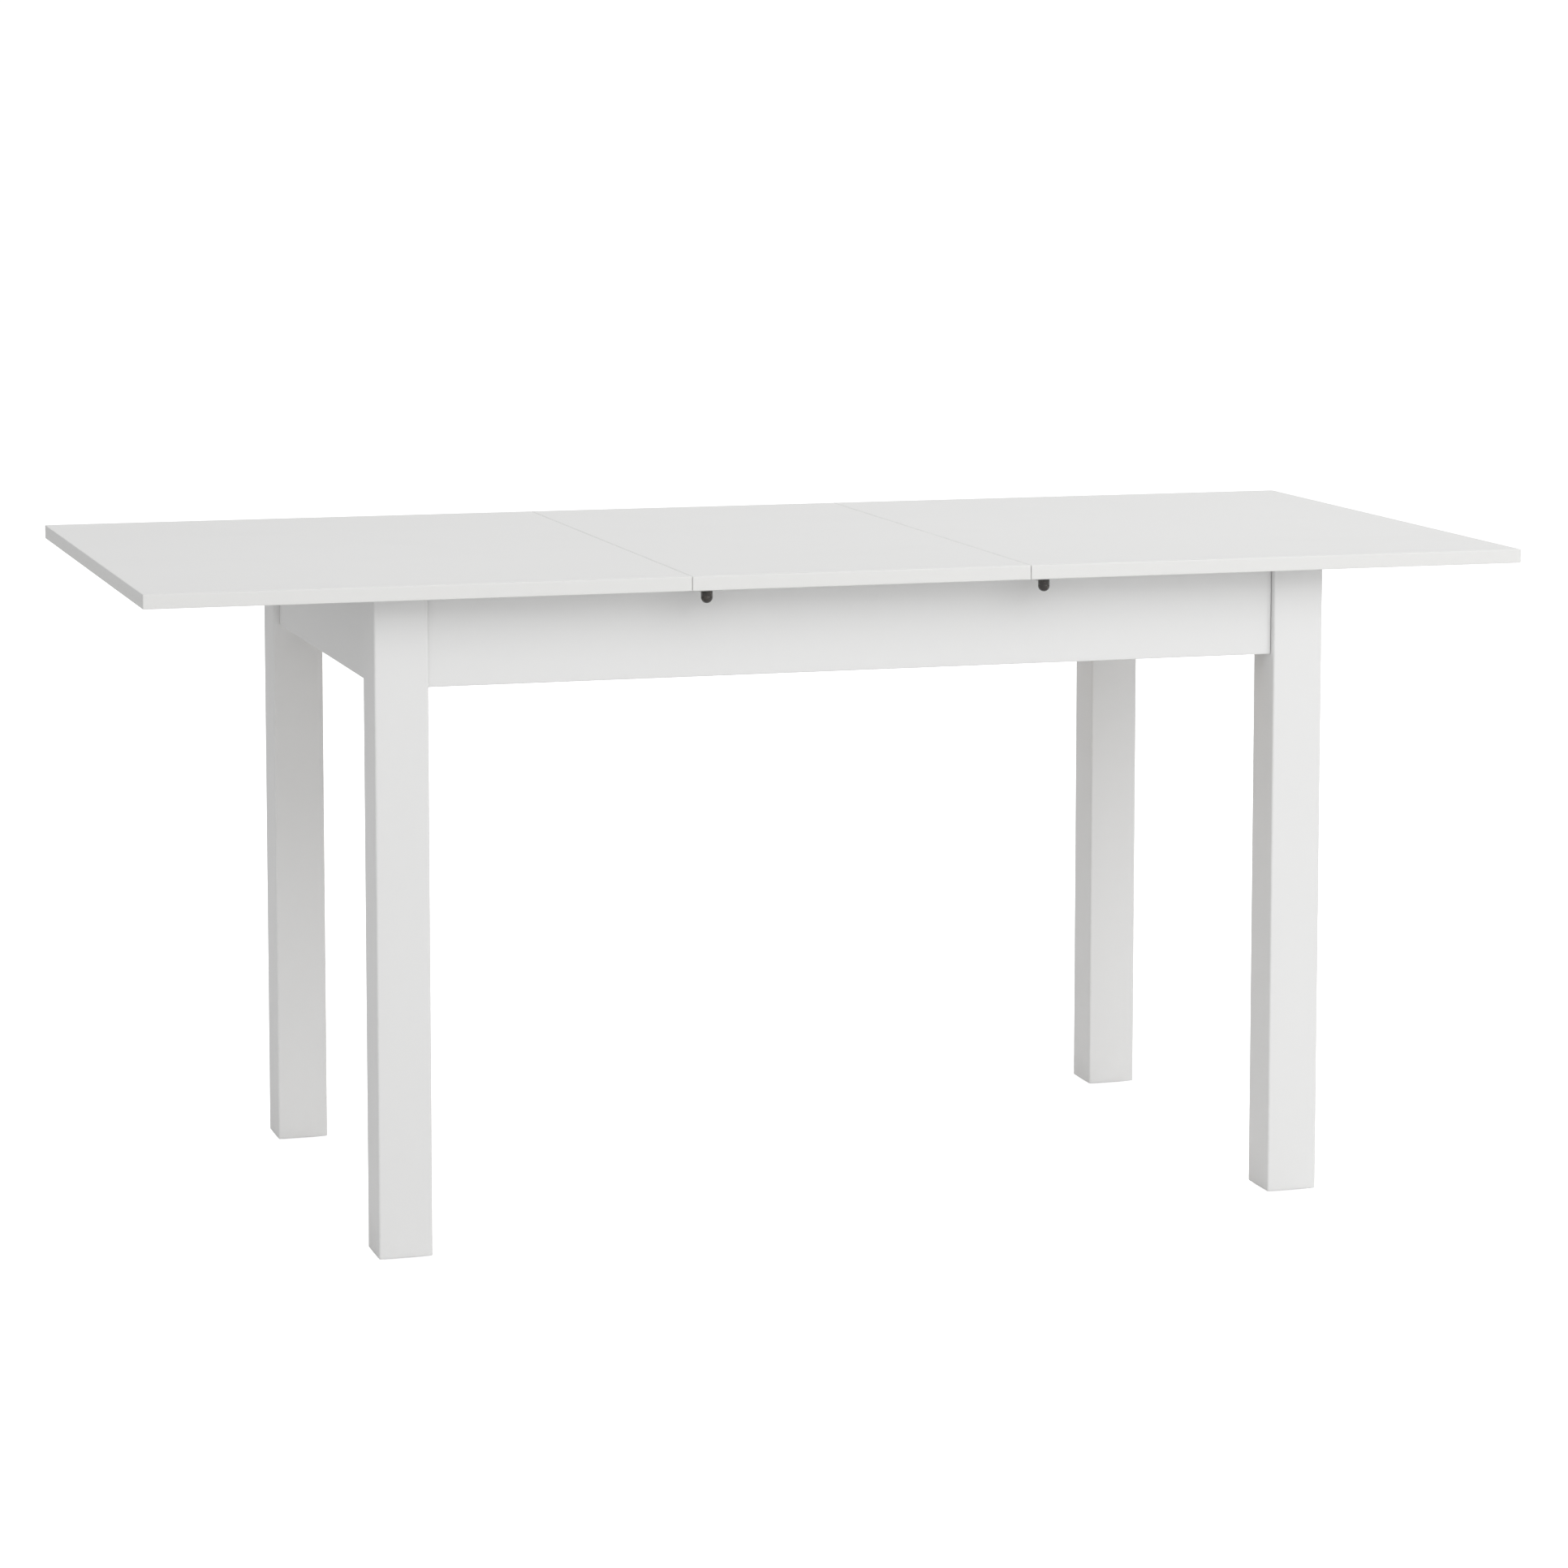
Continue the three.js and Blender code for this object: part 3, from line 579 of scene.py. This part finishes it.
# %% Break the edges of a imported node
MERGE_WITHIN, FLAT_WITHIN, SHARP_OVER = 0.002 * MM, math.radians(0.5), math.radians(35)
WOOD_BREAK, STEEL_BREAK, NYLON_BREAK = 0.6 * MM, 0.18 * MM, 0.3 * MM


def broken_edges(node, width, material):
    bm = bmesh.new()
    bm.from_mesh(frame["nodes"][node].data)
    bmesh.ops.remove_doubles(bm, verts=bm.verts, dist=MERGE_WITHIN)
    bmesh.ops.dissolve_limit(bm, angle_limit=FLAT_WITHIN, verts=bm.verts, edges=bm.edges)
    mesh = bpy.data.meshes.new(node)
    bm.to_mesh(mesh)
    bm.free()
    work = loose_object(mesh)
    bevel = work.modifiers.new("break", "BEVEL")
    bevel.width, bevel.segments = width, 2
    bevel.limit_method, bevel.angle_limit = "ANGLE", SHARP_OVER
    hand_over(applied(work), f"{node}_eased", node, [material], widest=1.3 * width)


for node in frame["nodes"]:
    if node.startswith(("guide_rail_", "runner_")):
        broken_edges(node, WOOD_BREAK, pine_long)
    elif node.startswith("cross_rail_"):
        broken_edges(node, WOOD_BREAK, pine_across)
    elif node.startswith("slide_strip_"):
        broken_edges(node, NYLON_BREAK, pale_nylon)
    elif node.startswith(("corner_brace_", "catch_plate_", "catch_arm_", "keeper_")):
        broken_edges(node, STEEL_BREAK, zinc_steel)

# %% [markdown]
# ## Turned pieces
# Knobs and foot glides are bodies of revolution: a profile of radius and height turned about an
# upright line. The knob's profile has a soft dome, a faint moulding line and a chamfered rim, and a
# pocket is then cut for the arm it drives.

# %% Turn a profile
ROUND_SIDES, ON_AXIS = 56, 1e-7


def turned_mesh(profile, centre):
    """Turns (radius, z) pairs about the upright line through centre; both ends are on the line."""
    bm = bmesh.new()
    loops = []
    for radius, z in profile:
        if radius < ON_AXIS:
            loops.append([bm.verts.new((centre.x, centre.y, z))])
            continue
        loop = []
        for i in range(ROUND_SIDES):
            t = 2 * math.pi * i / ROUND_SIDES
            spot = (centre.x + radius * math.cos(t), centre.y + radius * math.sin(t), z)
            loop.append(bm.verts.new(spot))
        loops.append(loop)
    for low, high in zip(loops, loops[1:]):
        for i in range(ROUND_SIDES):
            j = (i + 1) % ROUND_SIDES
            if len(low) == 1:
                bm.faces.new((low[0], high[j], high[i]))
            elif len(high) == 1:
                bm.faces.new((low[i], low[j], high[0]))
            else:
                bm.faces.new((low[i], low[j], high[j], high[i]))
    bmesh.ops.recalc_face_normals(bm, faces=bm.faces)
    mesh = bpy.data.meshes.new("turned")
    bm.to_mesh(mesh)
    bm.free()
    return mesh


# %% The four knobs
SHAFT_RADIUS, SHAFT_BELOW, SHAFT_ABOVE = 2.5 * MM, 2 * MM, 9 * MM
ARM_THICKNESS, ARM_HALF_WIDTH = 2.5 * MM, 4.5 * MM
POCKET_GAP, POCKET_REACH, POCKET_STEPS = 0.3 * MM, 9 * MM, 40


def arm_pocket(centre, arm_lo, arm_hi, thickness, side):
    """The space the arm's hub and strip take, grown by the gap, as a ring around the shaft."""
    hub = (arm_hi.x - arm_lo.x) / 2 + POCKET_GAP
    half = ARM_HALF_WIDTH + POCKET_GAP
    start = math.acos(min(half / hub, 1))
    outline = [(half, POCKET_REACH), (-half, POCKET_REACH)]
    for i in range(POCKET_STEPS + 1):
        t = math.pi - start + (math.pi + 2 * start) * i / POCKET_STEPS
        outline.append((hub * math.cos(t), hub * math.sin(t)))
    bottom = arm_lo.z - POCKET_GAP
    bm = bmesh.new()
    levels = []
    for z in (bottom, bottom + thickness + 2 * POCKET_GAP):
        spots = [(centre.x + side * x, centre.y + side * y, z) for x, y in outline]
        levels.append([bm.verts.new(spot) for spot in spots])
    for i in range(len(outline)):
        j = (i + 1) % len(outline)
        bm.faces.new((levels[0][i], levels[0][j], levels[1][j], levels[1][i]))
    bm.faces.new(list(reversed(levels[0])))
    bm.faces.new(levels[1])
    bmesh.ops.recalc_face_normals(bm, faces=bm.faces)
    mesh = bpy.data.meshes.new("pocket")
    bm.to_mesh(mesh)
    bm.free()
    shaft_low = Vector((centre.x, centre.y, bottom - SHAFT_BELOW))
    shaft_high = Vector((centre.x, centre.y, bottom + SHAFT_ABOVE))
    return cut_away(mesh, rod_mesh(shaft_low, shaft_high, SHAFT_RADIUS, ROUND_SIDES))


DOME_STEPS, RIM_BREAK = 14, 0.35 * MM
LINE_ABOVE_DOME, LINE_HALF, LINE_DEEP = 1.2 * MM, 0.15 * MM, 0.12 * MM
SHAFT_BREAK_TALL, SHAFT_BREAK_WIDE = 0.2 * MM, 0.3 * MM


def knob_profile(lo, hi, rim):
    """From the foot of the dome, past the moulding line and the rim, to the end of the shaft."""
    radius = (hi.x - lo.x) / 2
    dome = []
    for i in range(DOME_STEPS + 1):
        t = i / DOME_STEPS * math.pi / 2
        dome.append((radius * math.sin(t), lo.z + radius * (1 - math.cos(t))))
    line = lo.z + radius + LINE_ABOVE_DOME
    wall = [(radius, line - LINE_HALF), (radius - LINE_DEEP, line), (radius, line + LINE_HALF)]
    top = [(radius, rim - RIM_BREAK), (radius - RIM_BREAK, rim), (SHAFT_RADIUS, rim)]
    shaft = [(SHAFT_RADIUS, hi.z - SHAFT_BREAK_TALL), (SHAFT_RADIUS - SHAFT_BREAK_WIDE, hi.z)]
    return [*dome, *wall, *top, *shaft, (0, hi.z)]


for owner in ("leaf", "right"):
    for place, side in (("front", 1), ("back", -1)):
        node = f"catch_knob_{owner}_{place}"
        lo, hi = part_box(node)
        arm_lo, arm_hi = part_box(f"catch_arm_{owner}_{place}")
        centre = pivot_of[f"catch_{owner}_{place}"]
        rim = arm_lo.z + ARM_THICKNESS
        body = turned_mesh(knob_profile(lo, hi, rim), centre)
        pocket = arm_pocket(centre, arm_lo, arm_hi, ARM_THICKNESS, side)
        cut = cut_away(body, pocket)
        hand_over(cut, f"{node}_turned", node, [dark_knob], widest=0.3 * MM, smooth=40)
print("knobs", round((hi.x - lo.x) / MM, 1), "mm across,", round((hi.z - lo.z) / MM, 1), "mm tall")

# %% Foot glides
GLIDE_ROUND, GLIDE_TOP_BREAK = 1.1 * MM, 0.3 * MM
RECESS_DEEP, RECESS_STEP = 1.5 * MM, 0.2 * MM
RECESS_FLOOR, RECESS_WALL, RECESS_MOUTH = 4.6 * MM, 5.4 * MM, 5.6 * MM
for corner in CORNERS:
    node = f"foot_glide_{corner}"
    lo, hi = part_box(node)
    r = (hi.x - lo.x) / 2
    recess = [
        (0, lo.z + RECESS_DEEP),
        (RECESS_FLOOR, lo.z + RECESS_DEEP),
        (RECESS_WALL, lo.z + RECESS_STEP),
        (RECESS_MOUTH, lo.z),
    ]
    foot = [(r - inset, lo.z + depth) for inset, depth in arris(GLIDE_ROUND)]
    head = [(r, hi.z - GLIDE_TOP_BREAK), (r - GLIDE_TOP_BREAK, hi.z), (0, hi.z)]
    turned = turned_mesh([*recess, *foot, *head], (lo + hi) / 2)
    hand_over(turned, f"{node}_turned", node, [pale_nylon], widest=0.5 * MM)

# %% [markdown]
# ## Bolts and nuts
# A thread is a circle whose radius rises and falls as it climbs. Sweeping that rule along the bolt
# makes the real helix. The nut's corners are cut back by a cone, which leaves the curved chamfer
# every turned nut has.

# %% Threaded bolts and hexagon nuts
PITCH, THREAD_DEEP, PLAIN_SHANK, STAND_OUT = 1.25 * MM, 0.65 * MM, 28 * MM, 5.0 * MM
TIP_LENGTH, TIP_TAPER = 0.8 * MM, 0.2
NUT_FLATS, NUT_THICK, NUT_BORE, BORE_BREAK = 13.0 * MM, 6.5 * MM, 4.2 * MM, 0.5 * MM
NUT_SIDES, CHAMFER_START, CHAMFER_STEP = 48, 0.96, 0.16 * MM


def stack_mesh(loops, closed):
    """Joins equal loops of points into a skin, capped at both ends unless it closes on itself."""
    bm = bmesh.new()
    rows = [[bm.verts.new(p) for p in loop] for loop in loops]
    pairs = list(zip(rows, rows[1:]))
    if closed:
        pairs.append((rows[-1], rows[0]))
    count = len(rows[0])
    for low, high in pairs:
        for i in range(count):
            j = (i + 1) % count
            bm.faces.new((low[i], low[j], high[j], high[i]))
    if not closed:
        bm.faces.new(list(reversed(rows[0])))
        bm.faces.new(rows[-1])
    bmesh.ops.recalc_face_normals(bm, faces=bm.faces)
    mesh = bpy.data.meshes.new("stack")
    bm.to_mesh(mesh)
    bm.free()
    return mesh


def threaded_loops(length, plain, sides=20, per_turn=5):
    """A plain shank, then a thread, then a slightly tapered tip."""
    loops = []
    for step in range(int(length / PITCH * per_turn) + 1):
        z = min(step * PITCH / per_turn, length)
        loop = []
        tip = 1 - TIP_TAPER * max(0, 1 - (length - z) / TIP_LENGTH)
        for i in range(sides):
            turn = i / sides
            cut = abs(((z / PITCH - turn) % 1) - 0.5) * 2 if z > plain else 0
            radius = (BOLT_RADIUS - THREAD_DEEP * cut) * tip
            angle = 2 * math.pi * turn
            loop.append((radius * math.cos(angle), radius * math.sin(angle), z))
        loops.append(loop)
    return loops


def nut_loops():
    """Down the outside and back up the bore."""
    turns = [2 * math.pi * i / NUT_SIDES for i in range(NUT_SIDES)]
    from_flat = [(t + math.pi / 6) % (math.pi / 3) - math.pi / 6 for t in turns]
    flats = [NUT_FLATS / 2 / math.cos(angle) for angle in from_flat]
    chamfer = [i * CHAMFER_STEP for i in range(5)]
    levels = chamfer + [NUT_THICK - c for c in reversed(chamfer)]
    loops = []
    for z in levels:
        cone = NUT_FLATS / 2 * CHAMFER_START + min(z, NUT_THICK - z) * math.sqrt(3)
        radii = [min(f, cone) for f in flats]
        loops.append([(r * math.cos(t), r * math.sin(t), z) for r, t in zip(radii, turns)])
    for radius, z in (
        (NUT_BORE + BORE_BREAK, NUT_THICK),
        (NUT_BORE, NUT_THICK - BORE_BREAK),
        (NUT_BORE, BORE_BREAK),
        (NUT_BORE + BORE_BREAK, 0),
    ):
        loops.append([(radius * math.cos(t), radius * math.sin(t), z) for t in turns])
    return loops


for corner in CORNERS:
    start, end = bolt_line(corner)
    along = end - start
    turn = along.to_track_quat("Z", "Y").to_matrix().to_4x4()
    bolt = stack_mesh(threaded_loops(along.length, PLAIN_SHANK), False)
    bolt.transform(Matrix.Translation(start) @ turn)
    node = f"leg_bolt_{corner}"
    hand_over(bolt, f"{node}_thread", node, [screw_steel], widest=0.2 * MM, smooth=25)
    seat = end - along.normalized() * (STAND_OUT + NUT_THICK)
    nut = stack_mesh(nut_loops(), True)
    nut.transform(Matrix.Translation(seat) @ turn)
    node = f"leg_nut_{corner}"
    hand_over(nut, f"{node}_hex", node, [zinc_steel], widest=0.2 * MM)
print("bolt length", round(along.length / MM, 1), "mm")

# %% [markdown]
# ## Screws
# The screws differ only in size, so one cross head is drawn once, and Geometry Nodes puts a copy
# wherever a list of points says, facing the way each point says. A random turn of up to a quarter
# stops them lining up, as they never do on a real table. The result is one plain mesh a body.

# %% One screw head, of radius one
HEAD_RINGS = ((1.0, 0.0), (0.98, 0.14), (0.86, 0.30), (0.66, 0.37))
HEAD_RISE, CROSS_FLOOR, CROSS_TAPER = 0.38, 0.12, 0.82
CROSS_TIP, CROSS_WAIST = 0.52, 0.20


def screw_head():
    """Rings up the dome, then a cross at its crown and a smaller one at the floor of the slot."""
    turns = [math.radians(-15 + 30 * i) for i in range(12)]
    loops = [[(r * math.cos(t), r * math.sin(t), z) for t in turns] for r, z in HEAD_RINGS]
    for scale, z in ((1.0, HEAD_RISE), (CROSS_TAPER, CROSS_FLOOR)):
        cross = []
        for i, t in enumerate(turns):
            r = (CROSS_WAIST if i % 3 == 2 else CROSS_TIP) * scale
            cross.append((r * math.cos(t), r * math.sin(t), z))
        loops.append(cross)
    return stack_mesh(loops, False)


# %% The tree that sets screws
def screw_tree():
    tree = bpy.data.node_groups.new("set_screws", "GeometryNodeTree")
    face = tree.interface
    face.new_socket("Points", in_out="INPUT", socket_type="NodeSocketGeometry")
    face.new_socket("Screw", in_out="INPUT", socket_type="NodeSocketObject")
    face.new_socket("Turn seed", in_out="INPUT", socket_type="NodeSocketInt")
    face.new_socket("Finish", in_out="INPUT", socket_type="NodeSocketMaterial")
    face.new_socket("Screws", in_out="OUTPUT", socket_type="NodeSocketGeometry")

    def add(kind, links=None, **settings):
        made = tree.nodes.new(kind)
        for key, value in settings.items():
            setattr(made, key, value)
        for key, value in (links or {}).items():
            if isinstance(value, bpy.types.NodeSocket):
                tree.links.new(value, made.inputs[key])
            else:
                made.inputs[key].default_value = value
        return made

    given = add("NodeGroupInput").outputs
    facing = add("GeometryNodeInputNamedAttribute", {"Name": "facing"}, data_type="FLOAT_VECTOR")
    size = add("GeometryNodeInputNamedAttribute", {"Name": "head_radius"}, data_type="FLOAT")
    aim = add("FunctionNodeAlignRotationToVector", {"Vector": facing.outputs[0]}, axis="Z")
    chance = add("FunctionNodeRandomValue", {"Seed": given["Turn seed"]}, data_type="FLOAT")
    chance.inputs[2].default_value, chance.inputs[3].default_value = 0.0, math.pi / 2
    spin = add("ShaderNodeCombineXYZ", {"Z": chance.outputs[1]})
    euler = add("FunctionNodeEulerToRotation", {0: spin.outputs[0]})
    turned = add(
        "FunctionNodeRotateRotation",
        {0: aim.outputs[0], 1: euler.outputs[0]},
        rotation_space="LOCAL",
    )
    head = add("GeometryNodeObjectInfo", {"Object": given["Screw"]})
    placed = add(
        "GeometryNodeInstanceOnPoints",
        {
            "Points": given["Points"],
            "Instance": head.outputs["Geometry"],
            "Rotation": turned.outputs[0],
        },
    )
    tree.links.new(size.outputs[0], placed.inputs["Scale"])
    solid = add("GeometryNodeRealizeInstances", {0: placed.outputs[0]})
    done = add(
        "GeometryNodeSetMaterial",
        {"Geometry": solid.outputs[0], "Material": given["Finish"]},
    )
    out = add("NodeGroupOutput")
    tree.links.new(done.outputs[0], out.inputs[0])
    return tree


# %% Where the screws go
RUNNER_HEAD, RUNNER_SUNK, RUNNER_INSET, RUNNER_SHARES = 4.0 * MM, 0.4 * MM, 9 * MM, (0.1, 0.5, 0.9)
FLUSH_HEAD, PLATE_STEP, KEEPER_STEP, KEEPER_INSET = 1.7 * MM, 11 * MM, 6 * MM, 6.5 * MM
FLUSH_SUNK, SCREW_WORN = HEAD_RISE * FLUSH_HEAD, 0.25 * MM
BRACE_HEAD, BRACE_STEP, BRACE_INSET, BRACE_STEEL = 3.8 * MM, 11 * MM, 12 * MM, 2.5 * MM
GLIDE_HEAD, RAIL_HEAD, RAIL_SUNK, RAIL_RISE = 3.4 * MM, 3.6 * MM, 1.1 * MM, 7.5 * MM
RAIL_SHARES = (0.05, 0.28, 0.5, 0.72, 0.95)
screws = {body: [] for body in frame["bodies"]}


def drive(node, spot, facing, radius, sunk=0.0):
    """Notes one screw: its seat, the way its head faces, and how far the head is let in."""
    facing = Vector(facing)
    screws[body_of[node]].append((Vector(spot) - facing * sunk, facing, radius))


for end in ("left", "right"):
    for place, side in (("front", -1), ("back", 1)):
        node = f"runner_{end}_{place}"
        lo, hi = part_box(node)
        inner = lo.y if side > 0 else hi.y
        for share in RUNNER_SHARES:
            spot = (lo.x + (hi.x - lo.x) * share, inner + side * RUNNER_INSET, lo.z)
            drive(node, spot, (0, 0, -1), RUNNER_HEAD, RUNNER_SUNK)
for owner, holder in (("leaf", "left"), ("right", "leaf")):
    for place, side in (("front", -1), ("back", 1)):
        pivot = pivot_of[f"catch_{owner}_{place}"]
        plate = f"catch_plate_{owner}_{place}"
        for step in (-PLATE_STEP, PLATE_STEP):
            spot = (pivot.x + step, pivot.y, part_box(plate)[0].z)
            drive(plate, spot, (0, 0, -1), FLUSH_HEAD, FLUSH_SUNK)
        keeper = f"keeper_{holder}_{place}"
        lo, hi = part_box(keeper)
        for step in (-KEEPER_STEP, KEEPER_STEP):
            spot = (lo.x + KEEPER_INSET, (lo.y + hi.y) / 2 + step, lo.z)
            drive(keeper, spot, (0, 0, -1), FLUSH_HEAD, FLUSH_SUNK)
for corner, (sx, sy) in CORNERS.items():
    node = f"corner_brace_{corner}"
    lo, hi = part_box(node)
    tip_x, tip_y = (lo.x if sx > 0 else hi.x), (lo.y if sy > 0 else hi.y)
    back_x, back_y = (hi.x if sx > 0 else lo.x), (hi.y if sy > 0 else lo.y)
    for rise in (-BRACE_STEP, BRACE_STEP):
        z = (lo.z + hi.z) / 2 + rise
        long_side = (tip_x + sx * BRACE_INSET, back_y - sy * BRACE_STEEL, z)
        end_side = (back_x - sx * BRACE_STEEL, tip_y + sy * BRACE_INSET, z)
        drive(node, long_side, (0, -sy, 0), BRACE_HEAD)
        drive(node, end_side, (-sx, 0, 0), BRACE_HEAD)
    glide = f"foot_glide_{corner}"
    lo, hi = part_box(glide)
    spot = ((lo.x + hi.x) / 2, (lo.y + hi.y) / 2, lo.z + RECESS_DEEP)
    drive(glide, spot, (0, 0, -1), GLIDE_HEAD)
for place, side in (("front", -1), ("back", 1)):
    node = f"guide_rail_{place}"
    lo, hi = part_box(node)
    inner = lo.y if side > 0 else hi.y
    for share in RAIL_SHARES:
        spot = (lo.x + (hi.x - lo.x) * share, inner, lo.z + RAIL_RISE)
        drive(node, spot, (0, -side, 0), RAIL_HEAD, RAIL_SUNK)
print({body: len(found) for body, found in screws.items() if found})

# %% Set them, one mesh for each body
tree = screw_tree()
inputs = [item for item in tree.interface.items_tree if item.in_out == "INPUT"]
socket_id = {item.name: item.identifier for item in inputs}
template = loose_object(screw_head(), "screw_template")
for seed, (body, found) in enumerate(screws.items()):
    if not found:
        continue
    points = bpy.data.meshes.new("spots")
    points.from_pydata([spot for spot, _, _ in found], [], [])
    facing = points.attributes.new("facing", "FLOAT_VECTOR", "POINT")
    facing.data.foreach_set("vector", [v for _, way, _ in found for v in way])
    radius = points.attributes.new("head_radius", "FLOAT", "POINT")
    radius.data.foreach_set("value", [r for _, _, r in found])
    work = loose_object(points)
    setter = work.modifiers.new("screws", "NODES")
    setter.node_group = tree
    setter[socket_id["Screw"]] = template
    setter[socket_id["Turn seed"]] = seed + 3
    setter[socket_id["Finish"]] = screw_steel
    mesh = applied(work)
    mark_worn(mesh, SCREW_WORN)
    piece = loose_object(mesh, f"screws_{body}")
    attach(piece, body)
    print(piece.name, len(found), "screws,", len(mesh.polygons), "faces")
bpy.data.objects.remove(template)

# %% [markdown]
# ## Floor, light and camera
# The table stands in a white studio. The floor and the backdrop are pure white to the camera. To
# the table the floor is only pale, and the surroundings are bright in front, a little less bright
# behind, dim on the left and dark above and on the right. Three large soft lights stand overhead,
# front right and back right, which leaves the left end a step darker and lets the corners read.

# %% Pale floor
FLOOR_HALF, FLOOR_GLOW = 30, 0.90


def pale_floor():
    """A floor that adds light of its own only where the camera sees it."""
    bm = bmesh.new()
    bmesh.ops.create_grid(bm, x_segments=1, y_segments=1, size=FLOOR_HALF)
    mesh = bpy.data.meshes.new("floor")
    bm.to_mesh(mesh)
    bm.free()
    floor = loose_object(mesh, "studio_floor")
    g = Graph("pale_floor")
    patch = g.noise(g.place(), 0.8, 2)
    colour = g.blend(patch, (0.77, 0.77, 0.77), (0.79, 0.79, 0.79))
    glow = g.blend(g.node("ShaderNodeLightPath")["Is Camera Ray"], (0, 0, 0), (1, 1, 1))
    g.finish(Base_Color=colour, Roughness=0.8, Specular_IOR_Level=0.0, Emission_Color=glow)
    g.finish(Emission_Strength=FLOOR_GLOW)
    mesh.materials.append(g.material)


pale_floor()

# %% Soft studio light
LEFT_LEVEL, FRONT_LEVEL, BACK_LEVEL, BACKDROP_LEVEL = 0.46, 1.02, 0.80, 1.05


class SkyGraph(Graph):
    """The same arithmetic, for the light that comes from all round."""

    def __init__(self, world):
        self.tree = world.node_tree

    def towards(self, value):
        """The part of a direction that points one way, and nothing for the other way."""
        return self.node("ShaderNodeMath", {"operation": "MAXIMUM"}, {0: value, 1: 0.0})[0]


def soft_light(name, place, aim, width, watts):
    light = bpy.data.lights.new(name, "AREA")
    light.shape, light.size, light.energy = "SQUARE", width, watts
    lamp = bpy.data.objects.new(name, light)
    lamp.matrix_world = Matrix.Translation(place) @ (
        (Vector(aim) - Vector(place)).to_track_quat("-Z", "Y").to_matrix().to_4x4()
    )
    bpy.context.scene.collection.objects.link(lamp)


world = bpy.data.worlds.new("white_studio")
bpy.context.scene.world = world
world.use_nodes = True
sky = SkyGraph(world)
sky.tree.nodes.remove(sky.tree.nodes["Background"])
way = sky.node("ShaderNodeSeparateXYZ", {}, {0: sky.node("ShaderNodeTexCoord")["Generated"]})
strength = sky.towards(way["X"] * -1) * LEFT_LEVEL
strength = strength + sky.towards(way["Y"] * -1) * FRONT_LEVEL + sky.towards(way["Y"]) * BACK_LEVEL
white = {"Color": (1, 1, 1, 1)}
around = sky.node("ShaderNodeBackground", {}, {**white, "Strength": strength})[0]
backdrop = sky.node("ShaderNodeBackground", {}, {**white, "Strength": BACKDROP_LEVEL})[0]
seen = sky.node("ShaderNodeLightPath")["Is Camera Ray"]
surround = sky.node("ShaderNodeMixShader", {}, {0: seen, 1: around, 2: backdrop})[0]
sky.tree.links.new(surround.socket, sky.tree.nodes["World Output"].inputs["Surface"])
soft_light("overhead", place=(0.4, 0.2, 3.6), aim=(0.2, 0, 0.7), width=3.6, watts=18)
soft_light("front_right", place=(2.6, -4.4, 4.3), aim=(0, 0, 0.5), width=4.4, watts=150)
soft_light("back_right", place=(5.0, 2.2, 2.5), aim=(0.3, 0, 0.7), width=3.0, watts=140)
bpy.context.scene.view_settings.view_transform = "Standard"

# %% [markdown]
# ## Camera
# A long lens looks from the front left, a little above the top, and slightly down. Its shift slides
# the table up the square frame and a little to the right, without turning the camera.

# %% Camera from its aim, lens and shift
SENSOR, FOCAL = 36.0, 108.574733
SHIFT_RIGHT, SHIFT_UP = 0.0621118012, 0.1552795031
EYE = Vector((-1.562878, -5.320070, 1.332041))
YAW, TILT, ROLL = 0.30983, -0.10534, 0.00258

ahead = Vector(
    (
        math.sin(YAW) * math.cos(TILT),
        math.cos(YAW) * math.cos(TILT),
        math.sin(TILT),
    )
)
level = ahead.cross(Vector((0, 0, 1))).normalized()
upright = level.cross(ahead)
right = level * math.cos(ROLL) + upright * math.sin(ROLL)
up = upright * math.cos(ROLL) - level * math.sin(ROLL)
lens = bpy.data.cameras.new("studio_lens")
lens.sensor_width, lens.lens = SENSOR, FOCAL
lens.shift_x, lens.shift_y = -SHIFT_RIGHT, -SHIFT_UP
lens.clip_end = 100
camera = bpy.data.objects.new("camera", lens)
camera.matrix_world = Matrix.Translation(EYE) @ Matrix((right, up, -ahead)).transposed().to_4x4()
bpy.context.scene.collection.objects.link(camera)
bpy.context.scene.camera = camera
print("lens", round(lens.lens, 1), "mm")
